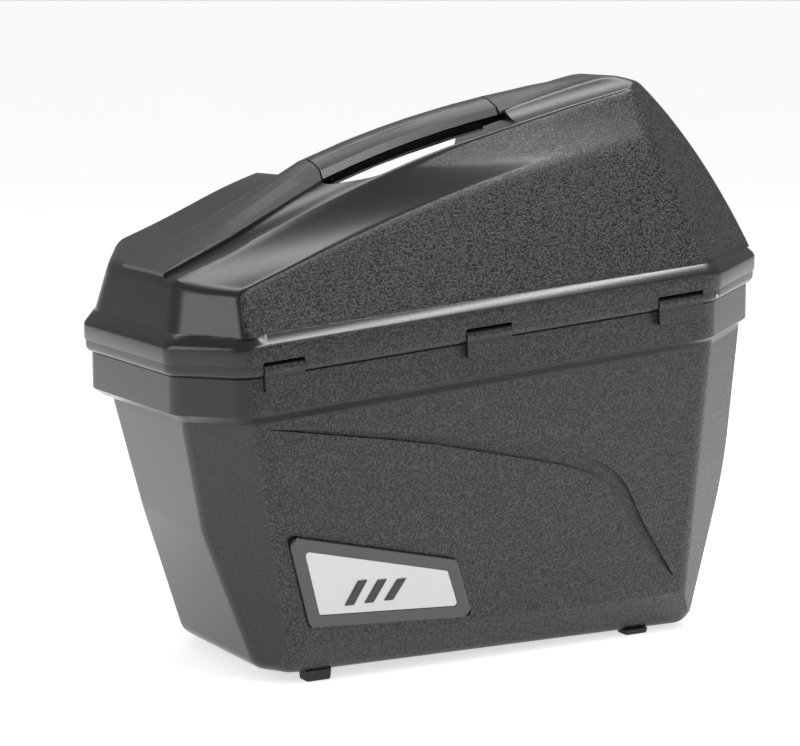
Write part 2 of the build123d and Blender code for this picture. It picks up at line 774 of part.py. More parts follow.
tab_runs = (
    (handle_low_x - tab_length, handle_low_x + riser, handle_low_x + cover_gap / 2, handle_low_x + riser),
    (handle_high_x - riser, handle_high_x + tab_length, handle_high_x - riser,
     handle_high_x - cover_gap / 2),
)
top_section = (
    (-handle_half_width, -handle_depth),
    (-handle_top_half, -handle_crown),
    (-handle_top_half / 2, -handle_crown * 0.3),
    (0, 0),
    (handle_top_half / 2, -handle_crown * 0.3),
    (handle_top_half, -handle_crown),
    (handle_half_width, -handle_depth),
    (handle_half_width - 2.5, -handle_depth - 2),
    (-handle_half_width + 2.5, -handle_depth - 2),
)
grip_section = (
    (-grip_half_width, -handle_depth - 2 - snug),
    (grip_half_width, -handle_depth - 2 - snug),
    (grip_half_width, -handle_depth - grip_depth + 3),
    (grip_half_width - 6, -handle_depth - grip_depth),
    (-grip_half_width + 6, -handle_depth - grip_depth),
    (-grip_half_width, -handle_depth - grip_depth + 3),
)

with BuildPart() as handle:
    add(swept(top_section, cover_gap / 2, cover_gap / 2))
    for x0, x1, rise_x0, rise_x1 in tab_runs:
        add(spine_bar(x0, x1, [tab_half_width] * 2, -cover_seat - tab_thickness, -cover_seat - snug))
        add(spine_bar(rise_x0, rise_x1, [tab_half_width] * 2, -cover_seat - tab_thickness, 2.0))
    for x in handle_screw_spots:
        with BuildSketch(Plane.XY.offset(screw_seat(x) - tab_thickness)):
            with Locations((x, 0)):
                Circle(screw_radius + snug)
        extrude(amount=tab_thickness + 2, mode=Mode.SUBTRACT)
        with BuildSketch(Plane.XY.offset(screw_seat(x))):
            with Locations((x, 0)):
                Circle(screw_head_radius + 0.2)
        extrude(amount=tab_thickness, mode=Mode.SUBTRACT)

with BuildPart() as handle_grip:
    add(swept(grip_section, 6.0, 6.0))
    for x0, x1 in tab_spans:
        add(spine_bar(x0 - snug, x1 + snug, [grip_half_width + 5] * 2, -cover_seat - tab_thickness - 1, 5),
            mode=Mode.SUBTRACT)


def crest_z(x):
    """Height of the handle's crest at an x, on the arc through its three points."""
    (x0, z0), (x1, z1), (x2, z2) = handle_crest
    turn = 2 * (x0 * (z1 - z2) + x1 * (z2 - z0) + x2 * (z0 - z1))
    squares = [px * px + pz * pz for px, pz in handle_crest]
    centre_x = (squares[0] * (z1 - z2) + squares[1] * (z2 - z0) + squares[2] * (z0 - z1)) / turn
    centre_z = (squares[0] * (x2 - x1) + squares[1] * (x0 - x2) + squares[2] * (x1 - x0)) / turn
    radius = math.hypot(x0 - centre_x, z0 - centre_z)
    return centre_z + math.sqrt(radius ** 2 - (x - centre_x) ** 2)


def cover_at_handle(x):
    """Where a cover meets the handle: half width, width of its facet, side height and crown height."""
    height = crest_z(x) - spine_z(x)
    return (handle_half_width, handle_half_width - handle_top_half, height - handle_crown, handle_crown)


def cover_section(x, half, facet, side, crown):
    """The crowned outline of a spine cover at an x, shaped like the handle's top."""
    top_half = half - facet
    shoulder = side + 0.7 * crown
    with BuildSketch(Plane(origin=(x, 0, spine_z(x)), x_dir=(0, 1, 0), z_dir=(1, 0, 0))) as face:
        with BuildLine():
            Polyline((-half, -cover_seat), (half, -cover_seat), (half, 0), (top_half, side),
                     (top_half / 2, shoulder), (0, side + crown), (-top_half / 2, shoulder),
                     (-top_half, side), (-half, 0), close=True)
        make_face()
    return face.sketch


def spine_cover(x0, x1, first, last):
    """A crowned cover on the spine; its section runs from one set of sizes to the other."""
    stops = [x0] + [x for x in lid_stations if x0 < x < x1] + [x1]
    with BuildPart() as cover:
        for start, end in zip(stops, stops[1:]):
            faces = []
            for x in (start, end):
                share = (x - x0) / (x1 - x0)
                sizes = [low + (high - low) * share for low, high in zip(first, last)]
                faces.append(cover_section(x, *sizes))
            loft(sections=faces, ruled=True)
        for x in handle_screw_spots:
            with BuildSketch(Plane.XY.offset(spine_z(x) - 5)):
                with Locations((x, 0)):
                    Circle(screw_head_radius + 0.5)
            extrude(amount=5 + screw_head_height - cover_seat + 0.6, mode=Mode.SUBTRACT)
    return cover.part


with BuildPart() as low_spine_cover:
    low_tip = (cover_low_half_width, cover_tip_side, cover_tip_side, cover_tip_crown)
    add(spine_cover(cover_low_end_x, handle_low_x - cover_gap, low_tip, cover_at_handle(handle_low_x)))

with BuildPart() as high_spine_cover:
    high_tip = (cover_high_tip_half, cover_tip_side, cover_tip_side, cover_tip_crown)
    add(spine_cover(handle_high_x + cover_gap, cover_high_end_x, cover_at_handle(handle_high_x), high_tip))

with BuildPart() as handle_screws:
    for x in handle_screw_spots:
        add(fastener((x, 0, screw_seat(x) + 0.05), (0, 0, -1), tab_thickness + lid_screw_depth - 3))


# ---------------------------------------------------------------- hinge
with BuildPart() as hinge_pin:
    add(seam_rod(pin_ends, (hinge_v, hinge_w), pin_radius))

# ---------------------------------------------------------------- lock unit
latch_room = (latch_u[0] - 1, latch_u[1] + 1)
lock_top = lock_w[1]


def side_profile(u, points):
    """A bar along the seam with an outline of (v, w) points."""
    with BuildPart() as bar:
        with BuildSketch(across(u[0])):
            with BuildLine():
                Polyline(*points, close=True)
            make_face()
        extrude(amount=u[1] - u[0])
    return bar.part


stem_side = stem_size / 2
catch_top = catch_w[1] + 1
slope_sum = stem_slope_sum - 0.3
pocket_end = button_v + stem_side + button_travel + 1
catch_pocket = [(slope_sum - catch_top, catch_top), (pocket_end, catch_top),
                (pocket_end, slope_sum - pocket_end)]

with BuildPart() as lock_housing:
    add(seam_box(lock_u, lock_v, lock_w))
    # Room for the latch lever, open to the top, the back and the striker
    add(seam_box(latch_room, (90.0, lock_v[1] + 1), (latch_tail_w - 1, lock_top + 1)), mode=Mode.SUBTRACT)
    add(seam_box((latch_room[0] - 6, latch_room[1] + 6), (lock_v[0] - 1, 91.0), (17.0, lock_top + 1)),
        mode=Mode.SUBTRACT)
    add(seam_rod((latch_room[0] - 8, latch_room[1] + 6), latch_pivot, latch_pin_radius + pin_fit),
        mode=Mode.SUBTRACT)
    # Bore for the key barrel, with room for its cam to turn
    cam_room_w = barrel_w[0] - cam_thickness - 1
    barrel_bore = (cam_room_w, lock_top + 1)
    cam_room = (cam_room_w, barrel_w[0] + 0.2)
    add(upright_rod(barrel_u, barrel_v, barrel_bore, barrel_radius + pin_fit), mode=Mode.SUBTRACT)
    add(upright_rod(barrel_u, barrel_v, cam_room, cam_length + 0.5), mode=Mode.SUBTRACT)
    # Bores for the release button and its stem, and a slide for the catch
    button_room = (button_w[0] - button_travel - 1.5, lock_top + 1)
    add(upright_rod(button_u, button_v, button_room, button_radius + 0.3), mode=Mode.SUBTRACT)
    add(seam_box((button_u - stem_side - 0.3, button_u + stem_side + 0.3),
                 (button_v - stem_side - 0.3, button_v + stem_side + 0.3), (catch_w[0] - 1, button_w[0])),
        mode=Mode.SUBTRACT)
    add(seam_box((catch_u[0] - catch_fit, catch_u[1] + catch_fit), (lock_v[0] + 0.4, lock_v[1] + 1),
                 (catch_w[0] - catch_fit, catch_w[1] + catch_fit)), mode=Mode.SUBTRACT)
    for u, w in lock_screw_points:
        add(lock_screw_bite(u, w), mode=Mode.SUBTRACT)
    for u, w in cover_screw_points:
        add(cover_screw_hole(u, w, (lock_v[1] - 8, lock_v[1] + 1)), mode=Mode.SUBTRACT)

with BuildPart() as lock_cover:
    add(seam_box(lock_u, (lock_v[1] + 0.05, lock_v[1] + lock_cover_thickness), (lock_w[0], lock_w[1] - 6)))
    add(seam_box((catch_u[0] - 0.4, catch_u[1] + 0.4), (lock_v[1] - 1, case_width),
                 (catch_w[0] - 0.4, catch_w[1] + 0.4)), mode=Mode.SUBTRACT)
    add(seam_box(latch_room, (lock_v[1] - 1, case_width), (15.0, lock_top)), mode=Mode.SUBTRACT)
    for u, w in cover_screw_points:
        add(cover_screw_hole(u, w, (lock_v[1] - 1, case_width)), mode=Mode.SUBTRACT)

with BuildPart() as lock_cover_screws:
    for u, w in cover_screw_points:
        add(cover_screw(u, w, lock_v[1] + lock_cover_thickness, 8))

with BuildPart() as lock_screws:
    for u, w in lock_screw_points:
        spot = seam.from_local_coords(Vector(u, lock_v[0] - pocket_wall, w))
        add(fastener(spot, (0, 1, 0), pocket_wall + screw_bite))

half_t = latch_thickness / 2
pv, pw = latch_pivot
with BuildPart() as locked_latch:
    add(side_profile(latch_u, [
        (pv - half_t, latch_tail_w), (pv + half_t, latch_tail_w), (pv + half_t, latch_top - 2),
        (pv + half_t - 2, latch_top), (pv - half_t - 2, latch_top), (pv - half_t - 2, claw_w[1] + 4),
        (claw_reach + 3, claw_w[1]), (claw_reach, claw_w[0] + 1.5), (claw_reach, claw_w[0]),
        (pv - half_t, claw_w[0]),
    ]))
    add(seam_rod(latch_u, latch_pivot, latch_hub_radius))
    add(seam_rod(latch_room, latch_pivot, latch_pin_radius + pin_fit), mode=Mode.SUBTRACT)
    # A slot in the hub for the torsion spring
    add(seam_box((latch_u[0] + 9, latch_u[0] + 15), (pv - 5, pv + 5), (pw - 5, pw + 5)), mode=Mode.SUBTRACT)

# At rest the key is turned to open, so the latch is drawn back clear of the striker
latch_axis = Axis(tuple(seam.from_local_coords(Vector(0, pv, pw))), along)
with BuildPart() as lid_latch:
    add(locked_latch.part.rotate(latch_axis, -latch_swing))

with BuildPart() as latch_pin:
    add(seam_rod((latch_room[0] - 7, latch_room[1] + 5), latch_pivot, latch_pin_radius))

with BuildPart() as latch_spring:
    add(coil(across(latch_u[0] + 9.6), latch_pivot, 2.5, 4.6, 5))

with BuildPart() as key_barrel:
    add(upright_rod(barrel_u, barrel_v, barrel_w, barrel_radius))
    fillet(key_barrel.edges().group_by(Axis((0, 0, 0), seam_up))[-1], 0.8)
    with BuildSketch(seam.offset(barrel_w[1] - key_slot[2])):
        with Locations((barrel_u, barrel_v)):
            Rectangle(key_slot[1], key_slot[0])
    extrude(amount=key_slot[2] + 1, mode=Mode.SUBTRACT)

with BuildPart() as lock_cam:
    with BuildSketch(seam.offset(barrel_w[0] - cam_thickness)):
        with Locations((barrel_u, barrel_v - cam_length / 2 + cam_half_width / 2)):
            SlotOverall(cam_length + cam_half_width, 2 * cam_half_width, rotation=90)
    extrude(amount=cam_thickness - 0.05)

with BuildPart() as release_button:
    add(upright_rod(button_u, button_v, button_w, button_radius))
    fillet(release_button.edges().group_by(Axis((0, 0, 0), seam_up))[-1], 1.5)
    # The spring stands in a ring in the underside, around the stem
    ring_w = (button_w[0] - 1, button_w[0] + button_travel + 0.6)
    add(upright_rod(button_u, button_v, ring_w, button_radius - 0.7), mode=Mode.SUBTRACT)
    add(side_profile((button_u - stem_side, button_u + stem_side), [
        (button_v - stem_side, button_w[0] + 8), (button_v + stem_side, button_w[0] + 8),
        (button_v + stem_side, stem_slope_sum - button_v - stem_side),
        (button_v - stem_side, stem_slope_sum - button_v + stem_side),
    ]))

with BuildPart() as button_spring:
    spring_seat = seam.offset(button_w[0] - button_travel - 1.0)
    add(coil(spring_seat, (button_u, button_v), button_radius - 1, button_travel + 0.4, 3))

nose = catch_v[1] - 4
with BuildPart() as rack_catch:
    add(side_profile(catch_u, [
        (catch_v[0], catch_w[0]), (nose, catch_w[0]), (catch_v[1], catch_w[0] + 6), (catch_v[1], catch_w[1]),
        (catch_v[0], catch_w[1]),
    ]))
    stem_span = (button_u - stem_side - 0.2, button_u + stem_side + 0.2)
    add(side_profile(stem_span, catch_pocket), mode=Mode.SUBTRACT)
    spring_mouth = seam.from_local_coords(Vector(*catch_spring_spot))
    with BuildSketch(Plane(origin=spring_mouth, x_dir=along, z_dir=(0, 1, 0))):
        Circle(catch_spring_radius + 0.4)
    extrude(amount=catch_spring_length, mode=Mode.SUBTRACT)

with BuildPart() as striker:
    plate_v = lock_v[0] - lid_pocket_gap
    add(seam_box(striker_plate_u, (plate_v - striker_plate_thickness + 0.05, plate_v), striker_plate_w))
    for u in striker_screw_u:
        add(cover_screw_hole(u, striker_bar[1], (plate_v - 5, plate_v + 1)), mode=Mode.SUBTRACT)
    legs = ((latch_u[0] - 4, latch_u[0] - 1.5), (latch_u[1] + 1.5, latch_u[1] + 4))
    bar_v, bar_w = striker_bar
    for leg in legs:
        leg_w = (bar_w - striker_radius, bar_w + striker_radius)
        add(seam_box(leg, (plate_v, bar_v + striker_radius), leg_w))
    add(seam_rod((legs[0][0], legs[1][1]), striker_bar, striker_radius))


with BuildPart() as striker_screws:
    for u in striker_screw_u:
        add(cover_screw(u, striker_bar[1], pocket_front, 5))

with BuildPart() as catch_spring:
    spring_back = seam.from_local_coords(Vector(0, lock_v[0] + 0.45, 0))
    behind = Plane(origin=spring_back, x_dir=along, z_dir=(0, 1, 0))
    spring_centre = (catch_spring_spot[0], -catch_spring_spot[2])
    add(coil(behind, spring_centre, catch_spring_radius, catch_spring_length, 5))

# ---------------------------------------------------------------- rack interface
plate_inner_y = back_y + 0.05
with BuildPart() as rack_plate:
    with BuildSketch(Plane.XZ.offset(-plate_inner_y)):
        with Locations(rack_plate_centre):
            RectangleRounded(*rack_plate_size, 10)
    extrude(amount=plate_inner_y - rack_plate_outer_y)
    chamfer(rack_plate.faces().sort_by(Axis.Y)[-1].edges(), 1.5)
    with BuildSketch(Plane.XZ.offset(-plate_inner_y + 1)):
        with Locations((-hook_slot_x, hook_slot_z), (hook_slot_x, hook_slot_z)):
            Rectangle(hook_slot_size[0] + 2 * snug, hook_slot_size[1] + 2 * snug)
    extrude(amount=plate_inner_y - rack_plate_outer_y - 3, mode=Mode.SUBTRACT)
    with BuildSketch(Plane.XZ.offset(-plate_inner_y + 1)):
        with Locations(rack_screw_points):
            Circle(screw_radius + snug)
    extrude(amount=-1 - screw_bite, mode=Mode.SUBTRACT)
    # Shallow panels between the ribs of the plate
    with BuildSketch(Plane.XZ.offset(-rack_plate_outer_y)):
        with Locations(plate_panel_spots):
            RectangleRounded(*plate_panel_size, 5)
        with Locations(low_panel_spot):
            RectangleRounded(*low_panel_size, 5)
    extrude(amount=plate_panel_depth, mode=Mode.SUBTRACT)

with BuildPart() as hook_slot_liners:
    with BuildSketch(Plane.XZ.offset(-plate_inner_y)):
        with Locations((-hook_slot_x, hook_slot_z), (hook_slot_x, hook_slot_z)):
            Rectangle(*hook_slot_size)
            Rectangle(hook_slot_size[0] - 2 * liner_thickness, hook_slot_size[1] - 2 * liner_thickness,
                      mode=Mode.SUBTRACT)
    extrude(amount=plate_inner_y - rack_plate_outer_y + 0.5)

with BuildPart() as rack_plate_screws:
    for x, z in rack_screw_points:
        add(fastener((x, back_y - wall - snug, z), (0, 1, 0), wall + screw_bite - 1))

# ---------------------------------------------------------------- feet and badge
with BuildPart() as feet:
    for spot in foot_spots:
        with BuildSketch(Plane.XY):
            with Locations(spot):
                RectangleRounded(foot_size[0] - 1, foot_size[1] - 1, 2)
        with BuildSketch(Plane.XY.offset(foot_top(spot[0]) - snug)):
            with Locations(spot):
                RectangleRounded(foot_size[0], foot_size[1], 2)
        loft()

with BuildPart() as badge_frame:
    extrude(to_extrude=badge_face(-badge_sunk + 0.05, 0), amount=badge_sunk + badge_proud)
    fillet(badge_frame.faces().sort_by(Axis(front_wall.origin, front_wall.z_dir))[-1].edges(), 0.8)
    extrude(to_extrude=badge_face(badge_proud - 1.0, badge_border), amount=3, mode=Mode.SUBTRACT)

with BuildPart() as badge_plate:
    extrude(to_extrude=badge_face(badge_proud - 0.95, badge_border + snug), amount=0.8)

with BuildPart() as badge_bars:
    low, high = [on_front(0, z)[1] for z in badge_bar_span]
    with BuildSketch(badge_plane.offset(badge_proud - 0.1)):
        for i in range(badge_bar_count):
            x = badge_bar_start + i * badge_bar_pitch
            top_x = x + badge_bar_slant
            with BuildLine():
                Polyline((x, low), (x + badge_bar_width, low), (top_x + badge_bar_width, high - i),
                         (top_x, high - i), close=True)
            make_face()
    extrude(amount=badge_bar_height)

pieces = {
    "body_shell": body_shell,
    "lid_shell": lid_shell,
    "lid_seal": lid_seal,
    "handle": handle,
    "handle_grip": handle_grip,
    "low_spine_cover": low_spine_cover,
    "high_spine_cover": high_spine_cover,
    "handle_screws": handle_screws,
    "hinge_pin": hinge_pin,
    "lock_housing": lock_housing,
    "lock_cover": lock_cover,
    "lock_cover_screws": lock_cover_screws,
    "lock_screws": lock_screws,
    "lid_latch": lid_latch,
    "latch_pin": latch_pin,
    "latch_spring": latch_spring,
    "key_barrel": key_barrel,
    "lock_cam": lock_cam,
    "release_button": release_button,
    "button_spring": button_spring,
    "rack_catch": rack_catch,
    "catch_spring": catch_spring,
    "striker": striker,
    "striker_screws": striker_screws,
    "rack_plate": rack_plate,
    "hook_slot_liners": hook_slot_liners,
    "rack_plate_screws": rack_plate_screws,
    "feet": feet,
    "badge_frame": badge_frame,
    "badge_plate": badge_plate,
    "badge_bars": badge_bars,
}
for name, piece in pieces.items():
    piece.part.label = name
    export_step(piece.part, f"parts/{name}.step")
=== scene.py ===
"""Looks for a hard motorcycle side case: mouldings, plastics, metal trim, floor, light and camera."""

import json
import math

import bmesh
import bpy
import numpy as np
from mathutils import Matrix, Vector


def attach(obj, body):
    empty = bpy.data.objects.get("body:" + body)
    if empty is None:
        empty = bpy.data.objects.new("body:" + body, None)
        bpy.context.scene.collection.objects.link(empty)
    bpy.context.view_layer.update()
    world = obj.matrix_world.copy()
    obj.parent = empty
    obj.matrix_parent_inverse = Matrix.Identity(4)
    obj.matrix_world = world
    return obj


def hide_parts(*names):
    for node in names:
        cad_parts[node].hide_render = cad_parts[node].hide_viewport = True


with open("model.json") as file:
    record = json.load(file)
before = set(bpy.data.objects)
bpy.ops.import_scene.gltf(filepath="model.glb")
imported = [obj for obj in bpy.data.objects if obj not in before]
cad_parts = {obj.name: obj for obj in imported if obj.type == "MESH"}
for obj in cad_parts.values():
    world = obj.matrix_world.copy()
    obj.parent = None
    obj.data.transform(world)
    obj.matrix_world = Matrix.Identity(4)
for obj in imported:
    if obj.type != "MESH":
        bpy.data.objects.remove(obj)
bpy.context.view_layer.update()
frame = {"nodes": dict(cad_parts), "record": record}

bl_info = {
    "name": "Side Case Looks",
    "version": (1, 0, 0),
    "blender": (4, 5, 0),
    "location": "View3D > Sidebar > Side Case",
    "description": "Builds the visible pieces of a hard motorcycle side case on its fixed frame",
    "category": "Add Mesh",
}

MM = 0.001

# ---------------------------------------------------------------- the seam between body and lid
SEAM_HEIGHT = 0.2013
SEAM_TILT = math.radians(4.5)
SEAM_RISE = math.tan(SEAM_TILT)
ALONG = Vector((math.cos(SEAM_TILT), 0.0, math.sin(SEAM_TILT)))
SEAM_UP = Vector((-math.sin(SEAM_TILT), 0.0, math.cos(SEAM_TILT)))

# ---------------------------------------------------------------- rim outline
RIM_LENGTH = 0.408
RIM_WIDTH = 0.218
LOW_CUT = (0.028, 0.049)
HIGH_CUT = (0.064, 0.046)
CORNER_ROUND = 0.020

# ---------------------------------------------------------------- lid form, in metres
STATIONS = [v * MM for v in (-215, -150, -84, -20, 37, 75, 125, 212)]
LOWER_RIDGE = [v * MM for v in (220, 242.7, 265, 283, 295.5, 302.8, 312.2, 326)]
UPPER_RIDGE = [v * MM for v in (229.5, 255.5, 282.5, 305, 320, 329.5, 340.5, 357)]
SPINE = [v * MM for v in (230, 257.5, 289.5, 310, 326, 336.5, 348.5, 364)]
FAR_RIDGE = [v * MM for v in (227.5, 260, 288, 307, 320.5, 327, 334.5, 346)]
UPPER_RIDGE_Y = -0.044
SPINE_HALF = 0.019
STRIP_DISH = 0.0012
PANEL_NORMAL = Vector((-0.035, -0.894, 0.446)).normalized()
PANEL_FOOT = Vector((0.0, -0.103, 0.2253))
LID_REACH = (Vector((-0.215, -0.125, 0.150)), Vector((0.215, 0.125, 0.375)))
LOW_CORNER = Vector((-0.1981, -0.0574, 0.2097))
LOW_LEAN = math.radians(12.6)
LOW_CHAMFER = Vector((-0.847, -0.444, 0.293)).normalized()
HIGH_CORNER = Vector((0.1376, -0.103, 0.2363))
HIGH_CHAMFER = Vector((0.468, -0.729, 0.501)).normalized()
END_CENTRE = (0.0188, 0.197)
END_RADIUS = 0.1857
TOP_TRIM = Vector((-0.0044, 0.0, 0.331))
TOP_TRIM_END = Vector((0.1256, 0.0, 0.3489))


# Steps of the lid's rim from the bottom of its lip to the top of its bevel: height above the seam and inset
LIP_ARC = [(0.0041 - 0.0039 * math.cos(a), 0.0047 - 0.0039 * math.sin(a))
           for a in (math.radians(15 * i) for i in range(7))]
BEVEL_ARC = [(0.0158 + 0.0045 * math.sin(a), 0.0045 - 0.0045 * math.cos(a))
             for a in (math.radians(8 * i) for i in range(7))]
LID_RIM_PROFILE = (
    LIP_ARC + [(0.0078, 0.0008), (0.0080, 0.0006), (0.0080, 0.0002), (0.0084, 0.0)] + BEVEL_ARC
    + [(0.0236, 0.0056), (0.0240, 0.0066), (0.0240, 0.0130)]
)

# ---------------------------------------------------------------- cut-outs of the lid
RECESS_PLAN = ((-0.059, -0.042), (0.038, -0.042), (0.060, 0.080), (-0.0845, 0.080), (-0.0845, -0.025))
RECESS_FLOOR = 0.262
RECESS_SLOPE = 0.30
RECESS_ROUND = 0.005
LID_WALL = 0.003
KNUCKLE_SPANS = ((-0.166, -0.141), (-0.036, -0.006), (0.098, 0.130))
KNUCKLE_GAP = 0.0004
LID_ROOM_PROFILE = ((-0.001, 0.014), (0.026, 0.014))
SEAL_CHANNEL_PROFILE = ((-0.001, 0.009), (0.003, 0.009), (0.003, 0.012), (-0.001, 0.012))
BEYOND_RIM = 0.218
BELOW_SEAM = -0.010
KNUCKLE_INNER_V = -0.0996
KNUCKLE_ROOM_TOP = 0.009
POCKET_WALL_TOP = 0.074
POCKET_TOP = 0.090
LOCK_U = (-0.019, 0.055)
LOCK_V = 0.0803
POCKET_GAP = 0.001
POCKET_WALL = 0.007
POST_HALF = 0.017
POST_SPANS = ((-0.113, -0.073), (0.026, 0.066))


class Field:
    """A shader socket with arithmetic: an expression on values adds its Math nodes to the tree."""

    def __init__(self, book, socket):
        self.book = book
        self.socket = socket

    def _math(self, operation, first, second=None, clamp=False):
        values = [first] if second is None else [first, second]
        return self.book.node("ShaderNodeMath", {"operation": operation, "use_clamp": clamp}, values)

    def __add__(self, other):
        return self._math("ADD", self, other)

    def __radd__(self, other):
        return self._math("ADD", other, self)

    def __sub__(self, other):
        return self._math("SUBTRACT", self, other)

    def __rsub__(self, other):
        return self._math("SUBTRACT", other, self)

    def __mul__(self, other):
        return self._math("MULTIPLY", self, other)

    def clamped(self):
        return self._math("ADD", self, 0.0, clamp=True)

    def size(self):
        return self._math("ABSOLUTE", self)

    def most(self, other):
        return self._math("MAXIMUM", self, other)


class Finish:
    """One material's node tree, written as expressions."""

    def __init__(self, name):
        self.material = bpy.data.materials.new(name)
        self.material.use_nodes = True
        self.tree = self.material.node_tree
        self.shader = self.tree.nodes["Principled BSDF"]

    def node(self, kind, settings, values, output=0):
        """Adds a node: its settings first, then the values or links of its sockets."""
        made = self.tree.nodes.new(kind)
        for key, value in settings.items():
            setattr(made, key, value)
        pairs = values.items() if isinstance(values, dict) else enumerate(values)
        for key, value in pairs:
            if isinstance(value, Field):
                self.tree.links.new(value.socket, made.inputs[key])
            else:
                made.inputs[key].default_value = value
        return Field(self, made.outputs[output])

    def place(self):
        """Object coordinates, in metres."""
        return self.node("ShaderNodeTexCoord", {}, {}, output="Object")

    def parts(self, vector):
        """The x, y and z of a vector."""
        split = self.tree.nodes.new("ShaderNodeSeparateXYZ")
        self.tree.links.new(vector.socket, split.inputs[0])
        return [Field(self, out) for out in split.outputs]

    def noise(self, vector, scale, detail=2.0, roughness=0.5):
        values = {"Vector": vector, "Scale": scale, "Detail": detail, "Roughness": roughness}
        return self.node("ShaderNodeTexNoise", {}, values, output="Fac")

    def dots(self, vector, scale):
        """Distance to the nearest cell centre."""
        values = {"Vector": vector, "Scale": scale, "Randomness": 1.0}
        return self.node("ShaderNodeTexVoronoi", {}, values, output="Distance")

    def remap(self, value, low, high, to_low=0.0, to_high=1.0):
        """A value taken from one range to another, with smooth ends."""
        settings = {"interpolation_type": "SMOOTHSTEP"}
        values = {"Value": value, "From Min": low, "From Max": high, "To Min": to_low, "To Max": to_high}
        return self.node("ShaderNodeMapRange", settings, values, output="Result")

    def blend(self, share, first, second):
        """A mix of two colours."""
        mix = self.tree.nodes.new("ShaderNodeMix")
        mix.data_type = "RGBA"
        for key, value in ((0, share), (6, first), (7, second)):
            if isinstance(value, Field):
                self.tree.links.new(value.socket, mix.inputs[key])
            else:
                mix.inputs[key].default_value = value
        return Field(self, mix.outputs[2])

    def feed(self, name, value):
        """Sets or links one socket of the shader."""
        if isinstance(value, Field):
            self.tree.links.new(value.socket, self.shader.inputs[name])
        else:
            self.shader.inputs[name].default_value = value

    def bump(self, height, depth, strength=1.0, edge=0.0):
        """Relief on the shader's normal: a height from 0 to 1 for a depth in metres, over softened edges."""
        values = {"Strength": strength, "Distance": depth, "Height": height}
        if edge:
            soft_edge = self.node("ShaderNodeBevel", {"samples": 6}, {"Radius": edge}, output="Normal")
            values["Normal"] = soft_edge
        self.feed("Normal", self.node("ShaderNodeBump", {}, values, output="Normal"))


def grey(level, tint=(1.0, 1.0, 1.03)):
    """A near-neutral colour at a level."""
    return (level * tint[0], level * tint[1], level * tint[2], 1.0)


# ---------------------------------------------------------------- finishes
def moulded_case(name, settings):
    """Case plastic: coarse speckled grain on the outer panels, smooth satin on the other faces."""
    finish = Finish(name)
    place = finish.place()
    x, y, z = finish.parts(place)
    normal = finish.node("ShaderNodeNewGeometry", {}, {}, output="Normal")
    nx, ny, nz = finish.parts(normal)
    above_seam = z - SEAM_HEIGHT - x * SEAM_RISE
    on_lid = finish.remap(above_seam, -0.0006, 0.0002)
    sideways = ny.size()
    grained_lid = finish.remap(sideways, 0.60, 0.68) * finish.remap(above_seam, 0.0245, 0.0262)
    grained_body = finish.remap(sideways, 0.50, 0.58) * finish.remap(above_seam, -0.0285, -0.0275, 1.0, 0.0)
    flange = finish.remap(sideways, 0.80, 0.90) * finish.remap(above_seam, 0.0005, 0.003)
    band = finish.remap(sideways, 0.80, 0.90) * finish.remap(above_seam, -0.0215, -0.0200) * (1.0 - on_lid)
    grain = (grained_lid.most(grained_body).most(flange * 0.8).most(band * 0.8)).clamped()
    soft = finish.noise(place, settings.grain_density, 2.0, 0.55)
    speckle = finish.remap(soft, 0.40, 0.66)
    wide = finish.noise(place, 14.0, 2.0, 0.5)
    fine = finish.noise(place, 2600.0, 1.0, 0.5)
    shade = finish.blend(speckle, grey(settings.case_level * 0.10), grey(settings.case_level * 4.2))
    base = finish.blend(grain, grey(settings.case_level), shade)
    finish.feed("Base Color", base)
    roughness = 0.25 + grain * 0.13 + (wide - 0.5) * 0.06 + (fine - 0.5) * 0.04
    finish.feed("Roughness", roughness)
    relief = speckle * grain * 1.0 + fine * 0.05
    finish.bump(relief, settings.grain_depth, 0.75, 0.0009)
    finish.feed("Specular IOR Level", 0.42)
    return finish.material


def satin_moulding(name, settings, level=1.0, rough=0.34):
    """Smooth satin plastic with a faint mould texture."""
    finish = Finish(name)
    place = finish.place()
    wide = finish.noise(place, 18.0, 2.0, 0.5)
    fine = finish.noise(place, 1900.0, 2.0, 0.55)
    finish.feed("Base Color", finish.blend(wide * 0.25, grey(settings.case_level * level),
                                           grey(settings.case_level * level * 0.8)))
    finish.feed("Roughness", rough + (wide - 0.5) * 0.08 + (fine - 0.5) * 0.06)
    finish.bump(fine, 0.00003, 0.5)
    return finish.material


def gloss_moulding(name, level=0.012):
    """Polished black plastic with a few faint wipe marks."""
    finish = Finish(name)
    place = finish.place()
    stretched = finish.node("ShaderNodeMapping", {}, {"Vector": place, "Scale": (30.0, 300.0, 300.0)})
    wipes = finish.noise(stretched, 1.0, 3.0, 0.6)
    finish.feed("Base Color", finish.blend(wipes * 0.3, grey(level), grey(level * 1.6)))
    finish.feed("Roughness", 0.13 + finish.remap(wipes, 0.45, 0.8) * 0.10)
    finish.feed("Coat Weight", 0.5)
    finish.feed("Coat Roughness", 0.06)
    return finish.material


def metal_part(name, level, rough, grain_scale):
    """Turned or drawn metal with a fine directional grain."""
    finish = Finish(name)
    place = finish.place()
    stretched = finish.node("ShaderNodeMapping", {}, {"Vector": place, "Scale": grain_scale})
    lines = finish.noise(stretched, 1.0, 4.0, 0.6)
    spots = finish.noise(place, 90.0, 3.0, 0.6)
    finish.feed("Base Color", finish.blend(spots * 0.35, grey(level), grey(level * 0.72, (1.0, 0.98, 0.95))))
    finish.feed("Metallic", 1.0)
    finish.feed("Roughness", rough + (lines - 0.5) * 0.18 + (spots - 0.5) * 0.06)
    finish.bump(lines, 0.00002, 0.5)
    return finish.material


